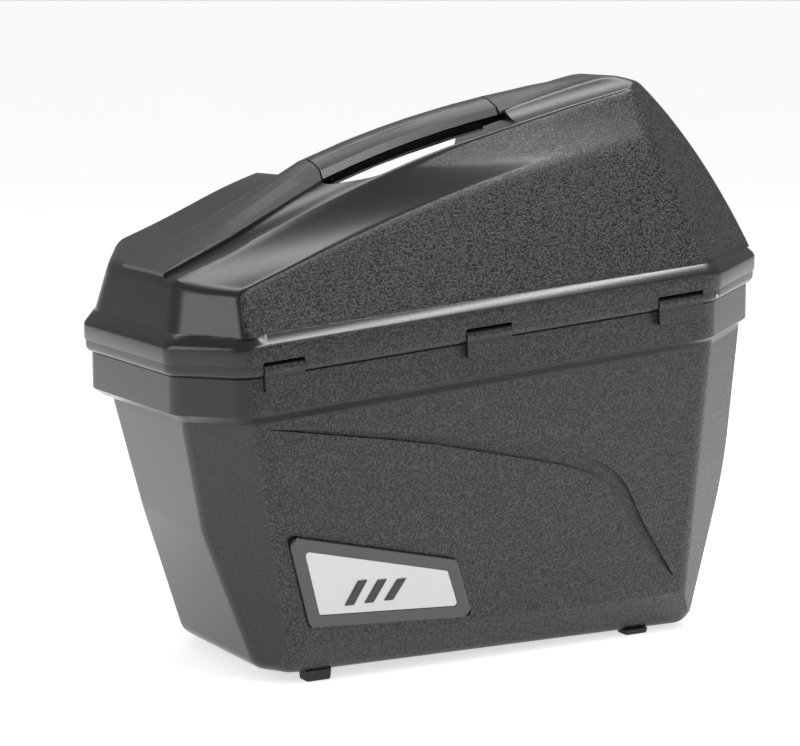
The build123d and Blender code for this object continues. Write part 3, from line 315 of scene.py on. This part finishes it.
def silver_lacquer(name):
    """Silver-lacquered badge plate with a fine metallic flake."""
    finish = Finish(name)
    place = finish.place()
    flake = finish.dots(place, 2600.0)
    wide = finish.noise(place, 12.0, 2.0, 0.5)
    finish.feed("Base Color", finish.blend(flake * 0.6, grey(0.52, (1.0, 1.0, 1.01)), grey(0.40)))
    finish.feed("Metallic", 0.55)
    finish.feed("Roughness", 0.33 + (wide - 0.5) * 0.06 + flake * 0.05)
    finish.feed("Coat Weight", 0.4)
    finish.feed("Coat Roughness", 0.12)
    finish.bump(flake, 0.00001, 0.4)
    return finish.material


def soft_rubber(name):
    """Matte black rubber with a dusty bloom."""
    finish = Finish(name)
    place = finish.place()
    bloom = finish.noise(place, 60.0, 4.0, 0.6)
    pores = finish.noise(place, 1500.0, 2.0, 0.6)
    finish.feed("Base Color", finish.blend(finish.remap(bloom, 0.45, 0.8), grey(0.016), grey(0.035)))
    finish.feed("Roughness", 0.72 + (pores - 0.5) * 0.15)
    finish.bump(pores, 0.00004, 0.6)
    return finish.material


def studio_floor(name):
    """The plain pale floor."""
    finish = Finish(name)
    place = finish.place()
    cloud = finish.noise(place, 1.5, 2.0, 0.5)
    finish.feed("Base Color", finish.blend(cloud, (0.93, 0.93, 0.93, 1.0), (0.96, 0.96, 0.96, 1.0)))
    finish.feed("Roughness", 0.8)
    finish.feed("Emission Color", (1.0, 1.0, 1.0, 1.0))
    finish.feed("Emission Strength", 0.64)
    return finish.material


def paint(piece, material):
    """Gives a piece one material on all its faces."""
    piece.data.materials.clear()
    piece.data.materials.append(material)
    piece.data.polygons.foreach_set("material_index", [0] * len(piece.data.polygons))


def repaint(node, material):
    """Assigns a finish to the slots of a carried-over node."""
    piece = frame["nodes"][node]
    for number in range(len(piece.material_slots)):
        piece.material_slots[number].material = material


# ---------------------------------------------------------------- mesh helpers
MERGE_DISTANCE = 0.000004
FLAT_ANGLE = math.radians(1.5)


def stand_alone(name, mesh):
    """A new object at the origin that holds a mesh."""
    piece = bpy.data.objects.new(name, mesh)
    bpy.context.scene.collection.objects.link(piece)
    return piece


def from_form(name, form):
    """A new object at the origin from a bmesh, which is used up."""
    mesh = bpy.data.meshes.new(name)
    form.to_mesh(mesh)
    form.free()
    return stand_alone(name, mesh)


def merged_copy(node, name):
    """A copy of a node's mesh with its doubles merged and its flat faces joined."""
    form = bmesh.new()
    form.from_mesh(frame["nodes"][node].data)
    bmesh.ops.remove_doubles(form, verts=form.verts, dist=MERGE_DISTANCE)
    bmesh.ops.dissolve_limit(form, angle_limit=FLAT_ANGLE, verts=form.verts, edges=form.edges)
    return from_form(name, form)


def settle(piece):
    """Replaces a piece's modifiers by their result, as a plain mesh."""
    graph = bpy.context.evaluated_depsgraph_get()
    result = bpy.data.meshes.new_from_object(piece.evaluated_get(graph))
    old = piece.data
    piece.modifiers.clear()
    piece.data = result
    result.name = old.name
    bpy.data.meshes.remove(old)


def smooth_shaded(piece, sharp_angle=math.radians(32)):
    """Smooth shading, with edges above an angle kept sharp."""
    piece.data.polygons.foreach_set("use_smooth", [True] * len(piece.data.polygons))
    piece.data.set_sharp_from_angle(angle=sharp_angle)


def rounded(piece, width, segments=2, angle=math.radians(28)):
    """Rounds the edges of a piece above an angle, then shades it by weighted normals."""
    bevel = piece.modifiers.new("rounding", "BEVEL")
    bevel.width = width
    bevel.segments = segments
    bevel.limit_method = "ANGLE"
    bevel.angle_limit = angle
    bevel.miter_outer = "MITER_ARC"
    bevel.use_clamp_overlap = True
    settle(piece)
    smooth_shaded(piece)
    weights = piece.modifiers.new("even_normals", "WEIGHTED_NORMAL")
    weights.keep_sharp = True
    settle(piece)


def rounded_stand_in(node, body, width, material, segments=2):
    """Stands a rounded copy in the place of a node."""
    piece = merged_copy(node, node + "_moulding")
    rounded(piece, width, segments)
    paint(piece, material)
    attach(piece, body)
    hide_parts(node)
    return piece


# ---------------------------------------------------------------- springs, by geometry nodes
SPRING_INPUTS = (("Turns", "NodeSocketFloat"), ("Radius", "NodeSocketFloat"), ("Height", "NodeSocketFloat"),
                 ("Wire Radius", "NodeSocketFloat"), ("Material", "NodeSocketMaterial"))
SPRING_WIRE = 0.0005


def spring_tree():
    """Node tree of a coil spring: a round wire swept along a spiral."""
    tree = bpy.data.node_groups.new("coil_spring", "GeometryNodeTree")
    for name, kind in SPRING_INPUTS:
        tree.interface.new_socket(name, in_out="INPUT", socket_type=kind)
    tree.interface.new_socket("Geometry", in_out="OUTPUT", socket_type="NodeSocketGeometry")
    given = tree.nodes.new("NodeGroupInput").outputs
    spiral = tree.nodes.new("GeometryNodeCurveSpiral")
    spiral.inputs["Resolution"].default_value = 40
    ring = tree.nodes.new("GeometryNodeCurvePrimitiveCircle")
    ring.inputs["Resolution"].default_value = 14
    sweep = tree.nodes.new("GeometryNodeCurveToMesh")
    sweep.inputs["Fill Caps"].default_value = True
    whole = tree.nodes.new("GeometryNodeRealizeInstances")
    coat = tree.nodes.new("GeometryNodeSetMaterial")
    links = (
        (given["Turns"], spiral.inputs["Rotations"]), (given["Radius"], spiral.inputs["Start Radius"]),
        (given["Radius"], spiral.inputs["End Radius"]), (given["Height"], spiral.inputs["Height"]),
        (given["Wire Radius"], ring.inputs["Radius"]), (spiral.outputs["Curve"], sweep.inputs["Curve"]),
        (ring.outputs["Curve"], sweep.inputs["Profile Curve"]),
        (sweep.outputs["Mesh"], whole.inputs["Geometry"]),
        (whole.outputs["Geometry"], coat.inputs["Geometry"]), (given["Material"], coat.inputs["Material"]),
        (coat.outputs["Geometry"], tree.nodes.new("NodeGroupOutput").inputs["Geometry"]),
    )
    for source, target in links:
        tree.links.new(source, target)
    return tree


def coil_stand_in(node, tree, foot, axis, values):
    """Stands a coil spring in the place of a node, on a foot point and along an axis."""
    holder = stand_alone(node + "_coil", bpy.data.meshes.new(node + "_coil"))
    modifier = holder.modifiers.new("coil", "NODES")
    modifier.node_group = tree
    for item in tree.interface.items_tree:
        if item.in_out == "INPUT":
            modifier[item.identifier] = values[item.name]
    settle(holder)
    turned = axis.to_track_quat("Z", "X").to_matrix().to_4x4()
    holder.data.transform(Matrix.Translation(foot) @ turned)
    smooth_shaded(holder)
    paint(holder, values["Material"])
    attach(holder, frame_body(node))
    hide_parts(node)


def seam_point(u, v, w):
    """A point from its place along the seam, its depth and its height above the seam."""
    return Vector((0, v, SEAM_HEIGHT)) + ALONG * u + SEAM_UP * w


# ---------------------------------------------------------------- lid geometry
def run_of(values, x):
    """A smooth curve through the station values, read at many x."""
    stations = np.array(STATIONS)
    values = np.array(values)
    slopes = np.gradient(values, stations)
    at = np.clip(np.searchsorted(stations, x) - 1, 0, len(stations) - 2)
    step = stations[at + 1] - stations[at]
    t = np.clip((x - stations[at]) / step, 0.0, 1.0)
    rise = values[at] + (values[at + 1] - values[at]) * t
    ends = slopes[at] * step * (t ** 3 - 2 * t ** 2 + t) + slopes[at + 1] * step * (t ** 3 - t ** 2)
    chord = (values[at + 1] - values[at]) * (3 * t ** 2 - 2 * t ** 3 - t)
    return rise + chord + ends


def soft_max(first, second, blend):
    """The larger of two distances, rounded off where they are within a blend of each other."""
    near = np.maximum(blend - np.abs(first - second), 0.0) / blend
    return np.maximum(first, second) + near * near * blend / 4


def panel_y(x, z):
    """Y of the lid's near panel at an x and z."""
    n, p = PANEL_NORMAL, PANEL_FOOT
    return p.y - (n.x * (x - p.x) + n.z * (z - p.z)) / n.y


def slope_between(y0, z0, y1, z1, y, z, dish=0.0):
    """Height of points above a face that runs through two edges of the lid and is dished between them."""
    run = np.hypot(y1 - y0, z1 - z0)
    share = np.clip(((y - y0) * (y1 - y0) + (z - z0) * (z1 - z0)) / run ** 2, 0.0, 1.0)
    return ((z - z0) * (y1 - y0) - (y - y0) * (z1 - z0)) / run + dish * 4 * share * (1 - share)


def lid_depth(points, inset, top_inset):
    """Signed distance of points outside the lid's rounded form, moved in by an inset, lowered on top."""
    x, y, z = points.T
    lower, upper, spine, far = (run_of(v, x) for v in (LOWER_RIDGE, UPPER_RIDGE, SPINE, FAR_RIDGE))
    mirrored_points = points * (1.0, -1.0, 1.0)
    near_panel = (points - PANEL_FOOT) @ np.array(PANEL_NORMAL) + inset
    far_panel = (mirrored_points - PANEL_FOOT) @ np.array(PANEL_NORMAL) + inset
    strip = slope_between(panel_y(x, lower), lower, UPPER_RIDGE_Y, upper, y, z, STRIP_DISH) + top_inset
    near_top = slope_between(UPPER_RIDGE_Y, upper, -SPINE_HALF, spine, y, z, STRIP_DISH) + top_inset
    flat = z - spine + top_inset
    far_top = slope_between(SPINE_HALF, spine, -panel_y(x, far), far, y, z) + top_inset
    top = soft_max(soft_max(soft_max(strip, near_top, 0.0022), flat, 0.0006), far_top, 0.0010)
    sides = soft_max(near_panel, far_panel, 0.002)
    depth = soft_max(top, sides, 0.0022)
    low_end = Vector((-math.cos(LOW_LEAN), 0.0, math.sin(LOW_LEAN)))
    faces = [(low_end, LOW_CORNER, 0.0045)]
    for normal, corner, blend in ((LOW_CHAMFER, LOW_CORNER, 0.0042), (HIGH_CHAMFER, HIGH_CORNER, 0.0034)):
        faces += [(normal, corner, blend)]
        faces += [(Vector((normal.x, -normal.y, normal.z)), Vector((corner.x, -corner.y, corner.z)), blend)]
    trim = Vector((TOP_TRIM.z - TOP_TRIM_END.z, 0.0, TOP_TRIM_END.x - TOP_TRIM.x)).normalized()
    end_arc = np.hypot(np.maximum(x - END_CENTRE[0], 0.0), z - END_CENTRE[1]) - END_RADIUS + inset
    crown = soft_max((points - TOP_TRIM) @ np.array(trim) + top_inset, end_arc, 0.010)
    depth = soft_max(depth, crown, 0.0028)
    for normal, corner, blend in faces:
        depth = soft_max(depth, (points - corner) @ np.array(normal) + inset, blend)
    return depth


def closed_box(low, high, counts):
    """The corners and faces of a box whose sides are divided into small squares, welded together."""
    form = bmesh.new()
    for axis in range(3):
        a, b = [i for i in range(3) if i != axis]
        for side, flip in ((low[axis], True), (high[axis], False)):
            rows = []
            for i in range(counts[a] + 1):
                row = []
                for j in range(counts[b] + 1):
                    corner = [0.0, 0.0, 0.0]
                    corner[axis] = side
                    corner[a] = low[a] + (high[a] - low[a]) * i / counts[a]
                    corner[b] = low[b] + (high[b] - low[b]) * j / counts[b]
                    row.append(form.verts.new(corner))
                rows.append(row)
            for i in range(counts[a]):
                for j in range(counts[b]):
                    quad = [rows[i][j], rows[i + 1][j], rows[i + 1][j + 1], rows[i][j + 1]]
                    form.faces.new(quad[::-1] if flip else quad)
    bmesh.ops.remove_doubles(form, verts=form.verts, dist=0.00001)
    bmesh.ops.recalc_face_normals(form, faces=form.faces)
    return form


def lid_form(name, inset, top_inset, cell, floor_height):
    """A closed solid of the lid's rounded form, cut flat at a height above the seam."""
    low, high = LID_REACH
    counts = [max(4, round((high[i] - low[i]) / cell)) for i in range(3)]
    form = closed_box(low, high, counts)
    outer = np.array([v.co for v in form.verts])
    middle = np.stack([np.clip(outer[:, 0], -0.13, 0.10), np.clip(outer[:, 1], -0.03, 0.03),
                       np.full(len(outer), 0.0)], axis=1)
    middle[:, 2] = SEAM_HEIGHT + middle[:, 0] * SEAM_RISE + 0.030
    near, far = np.zeros(len(outer)), np.ones(len(outer))
    for _ in range(24):
        half = (near + far) / 2
        outside = lid_depth(middle + (outer - middle) * half[:, None], inset, top_inset) > 0
        far = np.where(outside, half, far)
        near = np.where(outside, near, half)
    placed = middle + (outer - middle) * near[:, None]
    for vertex, spot in zip(form.verts, placed):
        vertex.co = spot
    cut = Vector((0.0, 0.0, SEAM_HEIGHT)) + SEAM_UP * floor_height
    geometry = form.verts[:] + form.edges[:] + form.faces[:]
    bmesh.ops.bisect_plane(form, geom=geometry, plane_co=cut, plane_no=SEAM_UP, clear_inner=True)
    bmesh.ops.holes_fill(form, edges=[e for e in form.edges if e.is_boundary])
    bmesh.ops.recalc_face_normals(form, faces=form.faces)
    return from_form(name, form)


def rim_loop(inset, height, turns=6):
    """Points round the rim outline at a height above the seam, moved in by an inset."""
    half_l, half_w = RIM_LENGTH / 2 / ALONG.x, RIM_WIDTH / 2
    near = [(-half_l, -half_w + LOW_CUT[1]), (-half_l + LOW_CUT[0], -half_w),
            (half_l - HIGH_CUT[0], -half_w), (half_l, -half_w + HIGH_CUT[1])]
    corners = [Vector(c) for c in near + [(u, -v) for u, v in reversed(near)]]
    lines = []
    for first, second in zip(corners, corners[1:] + corners[:1]):
        ahead = (second - first).normalized()
        inward = Vector((-ahead.y, ahead.x))
        lines.append((first + inward * inset, ahead, inward))
    points = []
    for (p0, d0, n0), (p1, d1, n1) in zip(lines[-1:] + lines[:-1], lines):
        across = d0.x * d1.y - d0.y * d1.x
        reach = ((p1 - p0).x * d1.y - (p1 - p0).y * d1.x) / across
        corner = p0 + d0 * reach
        turn = math.acos(max(-1.0, min(1.0, d0.dot(d1))))
        centre = corner + (n0 + n1).normalized() * (CORNER_ROUND / math.cos(turn / 2))
        start = math.atan2(-n0.y, -n0.x)
        for step in range(turns + 1):
            angle = start + turn * step / turns
            points.append(centre + Vector((math.cos(angle), math.sin(angle))) * CORNER_ROUND)
    lift = height / ALONG.x
    origin = Vector((0.0, 0.0, SEAM_HEIGHT + lift))
    return [origin + ALONG * p.x + Vector((0.0, p.y, 0.0)) for p in points]


def rim_solid(name, profile, hollow=False):
    """A solid round the rim from a profile of (height, inset) steps; a hollow one closes as a ring."""
    form = bmesh.new()
    loops = [[form.verts.new(p) for p in rim_loop(inset, height)] for height, inset in profile]
    pairs = list(zip(loops, loops[1:] + (loops[:1] if hollow else [])))
    for low, high in pairs:
        for i in range(len(low)):
            j = (i + 1) % len(low)
            form.faces.new((low[i], low[j], high[j], high[i]))
    if not hollow:
        form.faces.new(loops[0][::-1])
        form.faces.new(loops[-1])
    bmesh.ops.recalc_face_normals(form, faces=form.faces)
    return from_form(name, form)


def seam_block(name, u, v, w):
    """A block between three pairs of seam coordinates."""
    form = bmesh.new()
    bmesh.ops.create_cube(form, size=1.0)
    for vertex in form.verts:
        spot = [pair[0] + (pair[1] - pair[0]) * (value + 0.5) for pair, value in zip((u, v, w), vertex.co)]
        vertex.co = seam_point(*spot)
    return from_form(name, form)


def recess_space(name, grow):
    """The space of the finger recess, open upwards, with its sloping floor and rounded corners."""
    corners = [Vector(c) for c in RECESS_PLAN]
    centre = sum(corners, Vector((0.0, 0.0))) / len(corners)
    outline = []
    for before, corner, after in zip(corners[-1:] + corners[:-1], corners, corners[1:] + corners[:1]):
        first, second = (before - corner).normalized(), (after - corner).normalized()
        reach = RECESS_ROUND + grow
        for step in range(7):
            t = step / 6
            outline.append(corner + first * reach * (1 - t) ** 2 + second * reach * t ** 2)
    if grow:
        outline = [p + (p - centre).normalized() * grow * 1.2 for p in outline]
    form = bmesh.new()
    rings = []
    for lift, inset in ((0.0, 0.004), (0.0012, 0.0012), (0.004, 0.0), (None, 0.0)):
        ring = []
        for p in outline:
            inner = p - (p - centre).normalized() * inset
            floor = RECESS_FLOOR + RECESS_SLOPE * inner.x - grow
            ring.append(form.verts.new((inner.x, inner.y, 0.420 if lift is None else floor + lift)))
        rings.append(ring)
    for low, high in zip(rings, rings[1:]):
        for i in range(len(low)):
            j = (i + 1) % len(low)
            form.faces.new((low[i], low[j], high[j], high[i]))
    form.faces.new(rings[0][::-1])
    form.faces.new(rings[-1])
    bmesh.ops.recalc_face_normals(form, faces=form.faces)
    return from_form(name, form)


def spine_post(name, span):
    """The solid post under one end of the handle, inside the lid."""
    form = bmesh.new()
    bmesh.ops.create_cube(form, size=1.0)
    for vertex in form.verts:
        x = span[0] + (span[1] - span[0]) * (vertex.co.x + 0.5)
        top = float(run_of(SPINE, np.array([x]))[0])
        vertex.co = (x, 2 * POST_HALF * vertex.co.y, top + 0.04 if vertex.co.z > 0 else top - 0.020)
    return from_form(name, form)


def combine(piece, others, operation):
    """Joins or cuts a piece with others, which are then removed."""
    for other in others:
        step = piece.modifiers.new("combine", "BOOLEAN")
        step.operation = operation
        step.solver = "MANIFOLD"
        step.object = other
    settle(piece)
    for other in others:
        mesh = other.data
        bpy.data.objects.remove(other)
        bpy.data.meshes.remove(mesh)


# ---------------------------------------------------------------- sizes and colours a user would change
class SideCaseSettings(bpy.types.PropertyGroup):
    """Sizes and colours of the case's finishes."""

    case_level: bpy.props.FloatProperty(
        name="Case colour", description="Brightness of the black case plastic", default=0.011, min=0.0,
        max=1.0)
    grain_density: bpy.props.FloatProperty(
        name="Grain density", description="Grain cells per metre on the panels", default=820.0, min=50.0)
    grain_depth: bpy.props.FloatProperty(
        name="Grain depth", description="Depth of the panel grain", default=0.00026, min=0.0, unit="LENGTH")
    edge_round: bpy.props.FloatProperty(
        name="Edge rounding", description="Rounding of small moulded edges", default=0.0007, min=0.0,
        unit="LENGTH")
    lid_cell: bpy.props.FloatProperty(
        name="Lid cell", description="Size of the squares the lid's form is made of", default=0.0021,
        min=0.001, unit="LENGTH")
    key_light: bpy.props.FloatProperty(
        name="Key light", description="Power that the soft lights share out", default=15.0, min=0.0)


# ---------------------------------------------------------------- pieces
class SIDECASE_OT_body(bpy.types.Operator):
    """Rounds the body shell and gives it its grained and satin plastic"""

    bl_idname = "sidecase.body"
    bl_label = "Body shell"

    def execute(self, context):
        settings = context.scene.side_case
        material = moulded_case("case_plastic_body", settings)
        rounded_stand_in("body_shell", "case", settings.edge_round, material, 2)
        return {"FINISHED"}


class SIDECASE_OT_lid(bpy.types.Operator):
    """Rounds the lid shell and gives it its grained and satin plastic"""

    bl_idname = "sidecase.lid"
    bl_label = "Lid shell"

    def execute(self, context):
        settings = context.scene.side_case
        lid = rim_solid("lid_moulding", LID_RIM_PROFILE)
        combine(lid, [lid_form("lid_outer", 0.0, 0.0, settings.lid_cell, 0.0225)], "UNION")
        room = rim_solid("lid_room", LID_ROOM_PROFILE)
        combine(room, [lid_form("lid_inner", 0.0035, 0.008, 0.006, 0.022)], "UNION")
        posts = [spine_post("post_" + str(i), span) for i, span in enumerate(POST_SPANS)]
        pocket_walls = seam_block("pocket_walls", (LOCK_U[0] - POCKET_WALL, LOCK_U[1] + POCKET_WALL),
                                  (LOCK_V - POCKET_WALL, BEYOND_RIM), (BELOW_SEAM, POCKET_WALL_TOP))
        combine(room, [recess_space("recess_walls", LID_WALL), pocket_walls] + posts, "DIFFERENCE")
        seal_channel = rim_solid("seal_channel", SEAL_CHANNEL_PROFILE, hollow=True)
        pocket = seam_block("lock_pocket", (LOCK_U[0] - POCKET_GAP, LOCK_U[1] + POCKET_GAP),
                            (LOCK_V - POCKET_GAP, BEYOND_RIM), (BELOW_SEAM, POCKET_TOP))
        knuckle_rooms = [
            seam_block("knuckle_room", (span[0] - KNUCKLE_GAP, span[1] + KNUCKLE_GAP),
                       (-BEYOND_RIM, KNUCKLE_INNER_V), (BELOW_SEAM, KNUCKLE_ROOM_TOP))
            for span in KNUCKLE_SPANS
        ]
        recess = recess_space("finger_recess", 0.0)
        combine(lid, [room, recess, pocket, seal_channel] + knuckle_rooms, "DIFFERENCE")
        smooth_shaded(lid, math.radians(30))
        paint(lid, moulded_case("case_plastic_lid", settings))
        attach(lid, "lid")
        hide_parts("lid_shell")
        return {"FINISHED"}


class SIDECASE_OT_handle(bpy.types.Operator):
    """Rounds the handle, its grip and the two spine covers"""

    bl_idname = "sidecase.handle"
    bl_label = "Handle and spine covers"

    def execute(self, context):
        settings = context.scene.side_case
        satin = satin_moulding("handle_satin", settings, 1.0, 0.33)
        cover = satin_moulding("cover_satin", settings, 1.3, 0.40)
        gloss = gloss_moulding("grip_gloss")
        rounded_stand_in("handle", "lid", 0.0012, satin, 3)
        rounded_stand_in("handle_grip", "lid", 0.0016, gloss, 3)
        for node in ("low_spine_cover", "high_spine_cover"):
            rounded_stand_in(node, "lid", 0.0010, cover, 3)
        return {"FINISHED"}


class SIDECASE_OT_badge(bpy.types.Operator):
    """Rounds the badge frame and finishes the silver plate and its bars"""

    bl_idname = "sidecase.badge"
    bl_label = "Badge"

    def execute(self, context):
        settings = context.scene.side_case
        gloss = gloss_moulding("badge_gloss", 0.02)
        rounded_stand_in("badge_frame", "case", 0.0006, gloss, 2)
        repaint("badge_plate", silver_lacquer("badge_silver"))
        repaint("badge_bars", satin_moulding("badge_dark", settings, 1.6, 0.25))
        return {"FINISHED"}


# Node, foot, axis, turns, outer radius and height of each coil spring
COILS = (
    ("button_spring", seam_point(-0.011, 0.092, 0.010), SEAM_UP, 3.0, 0.005, 0.0054),
    ("catch_spring", seam_point(-0.011, 0.08075, -0.0422), Vector((0, 1, 0)), 5.0, 0.0022, 0.007),
)


class SIDECASE_OT_hardware(bpy.types.Operator):
    """Finishes the lock, latch, rack plate, hinge pin, screws, springs, seal and feet"""

    bl_idname = "sidecase.hardware"
    bl_label = "Lock, rack plate and hardware"

    def execute(self, context):
        settings = context.scene.side_case
        satin = satin_moulding("lock_satin", settings, 1.1, 0.38)
        nylon = satin_moulding("moving_nylon", settings, 2.2, 0.30)
        rubber = soft_rubber("rubber_black")
        zinc = metal_part("zinc_steel", 0.60, 0.30, (900.0, 120.0, 900.0))
        spring = metal_part("spring_wire", 0.50, 0.24, (600.0, 600.0, 600.0))
        lock_metal = metal_part("lock_metal", 0.66, 0.16, (1500.0, 1500.0, 60.0))
        for node in ("lock_housing", "lock_cover", "rack_plate", "release_button"):
            rounded_stand_in(node, frame_body(node), 0.0005, satin, 2)
        for node in ("lid_latch", "rack_catch", "hook_slot_liners"):
            rounded_stand_in(node, frame_body(node), 0.0004, nylon, 2)
        for node in ("hinge_pin", "handle_screws", "lock_cover_screws", "lock_screws", "latch_pin",
                     "striker", "striker_screws", "rack_plate_screws"):
            repaint(node, zinc)
        repaint("latch_spring", spring)
        coil = spring_tree()
        for node, foot, axis, turns, radius, height in COILS:
            values = {"Turns": turns, "Radius": radius - SPRING_WIRE, "Height": height - 2 * SPRING_WIRE,
                      "Wire Radius": SPRING_WIRE, "Material": spring}
            coil_stand_in(node, coil, foot + axis * SPRING_WIRE, axis, values)
        for node in ("key_barrel", "lock_cam"):
            repaint(node, lock_metal)
        repaint("lid_seal", rubber)
        rounded_stand_in("feet", "case", 0.0010, rubber, 3)
        return {"FINISHED"}


def frame_body(node):
    """The body that a node belongs to."""
    for body, members in frame["record"]["behaviour"]["bodies"].items():
        if node in members:
            return body
    raise KeyError(node)


# ---------------------------------------------------------------- floor, light and camera
CAMERA_AZIMUTH = math.radians(-29.69)
CAMERA_ELEVATION = math.radians(8.55)
CAMERA_DISTANCE = 1.6475
CAMERA_TARGET = Vector((0.0, 0.0, 0.1651))
LENS = 119.8
SENSOR_WIDTH = 36.0
LENS_SHIFT = -0.0356
FLOOR_REACH = 90.0
WORLD_STRENGTH = 0.33
LIT_POINT = (0.0, 0.0, 0.17)

# Name, place, size and share of the key power of each soft light
LIGHTS = (
    ("ridge_light", (0.35, -0.36, 1.50), (1.7, 0.16), 1.3),
    ("back_light", (0.15, 0.95, 1.45), (1.6, 0.30), 0.45),
    ("front_light", (-0.55, -1.6, 1.30), (1.2, 0.9), 0.12),
    ("left_light", (-1.7, 0.35, 0.75), (0.6, 1.0), 0.45),
    ("right_light", (1.6, -1.2, 0.55), (0.5, 1.1), 0.40),
)


def soft_light(name, place, target, size, power):
    """A rectangular soft light aimed at a point."""
    lamp = bpy.data.lights.new(name, "AREA")
    lamp.shape = "RECTANGLE"
    lamp.size, lamp.size_y = size
    lamp.energy = power
    made = bpy.data.objects.new(name, lamp)
    bpy.context.scene.collection.objects.link(made)
    made.location = place
    made.rotation_euler = (Vector(target) - Vector(place)).to_track_quat("-Z", "Y").to_euler()


class SIDECASE_OT_stage(bpy.types.Operator):
    """Adds the pale floor, the soft studio lights and the camera"""

    bl_idname = "sidecase.stage"
    bl_label = "Floor, light and camera"

    def execute(self, context):
        settings = context.scene.side_case
        scene = context.scene
        form = bmesh.new()
        bmesh.ops.create_grid(form, x_segments=2, y_segments=2, size=FLOOR_REACH)
        floor = from_form("studio_floor", form)
        paint(floor, studio_floor("floor_paper"))

        world = bpy.data.worlds.new("studio")
        world.use_nodes = True
        world.node_tree.nodes["Background"].inputs["Color"].default_value = (1.0, 1.0, 1.0, 1.0)
        world.node_tree.nodes["Background"].inputs["Strength"].default_value = WORLD_STRENGTH
        scene.world = world
        for name, place, size, share in LIGHTS:
            soft_light(name, place, LIT_POINT, size, settings.key_light * share)

        lens = bpy.data.cameras.new("camera")
        lens.sensor_width = SENSOR_WIDTH
        lens.lens = LENS
        lens.shift_x = LENS_SHIFT
        camera = bpy.data.objects.new("camera", lens)
        scene.collection.objects.link(camera)
        back = Vector((
            math.sin(CAMERA_AZIMUTH) * math.cos(CAMERA_ELEVATION),
            -math.cos(CAMERA_AZIMUTH) * math.cos(CAMERA_ELEVATION),
            math.sin(CAMERA_ELEVATION),
        ))
        camera.location = CAMERA_TARGET + back * CAMERA_DISTANCE
        camera.rotation_euler = (-back).to_track_quat("-Z", "Y").to_euler()
        lens.clip_start = 0.05
        lens.clip_end = 40.0
        scene.camera = camera
        scene.view_settings.view_transform = "Standard"
        return {"FINISHED"}


STEPS = (
    SIDECASE_OT_body,
    SIDECASE_OT_lid,
    SIDECASE_OT_handle,
    SIDECASE_OT_badge,
    SIDECASE_OT_hardware,
    SIDECASE_OT_stage,
)


class SIDECASE_PT_panel(bpy.types.Panel):
    """Lists the settings and the steps of the build"""

    bl_idname = "SIDECASE_PT_panel"
    bl_label = "Side Case"
    bl_space_type = "VIEW_3D"
    bl_region_type = "UI"
    bl_category = "Side Case"

    def draw(self, context):
        for name in SideCaseSettings.__annotations__:
            self.layout.prop(context.scene.side_case, name)
        for step in STEPS:
            self.layout.operator(step.bl_idname)


def register():
    bpy.utils.register_class(SideCaseSettings)
    bpy.types.Scene.side_case = bpy.props.PointerProperty(type=SideCaseSettings)
    for kind in STEPS + (SIDECASE_PT_panel,):
        bpy.utils.register_class(kind)


def unregister():
    for kind in reversed(STEPS + (SIDECASE_PT_panel,)):
        bpy.utils.unregister_class(kind)
    del bpy.types.Scene.side_case
    bpy.utils.unregister_class(SideCaseSettings)


def main():
    register()
    for step in STEPS:
        family, action = step.bl_idname.split(".")
        getattr(getattr(bpy.ops, family), action)()


if __name__ == "__main__":
    main()
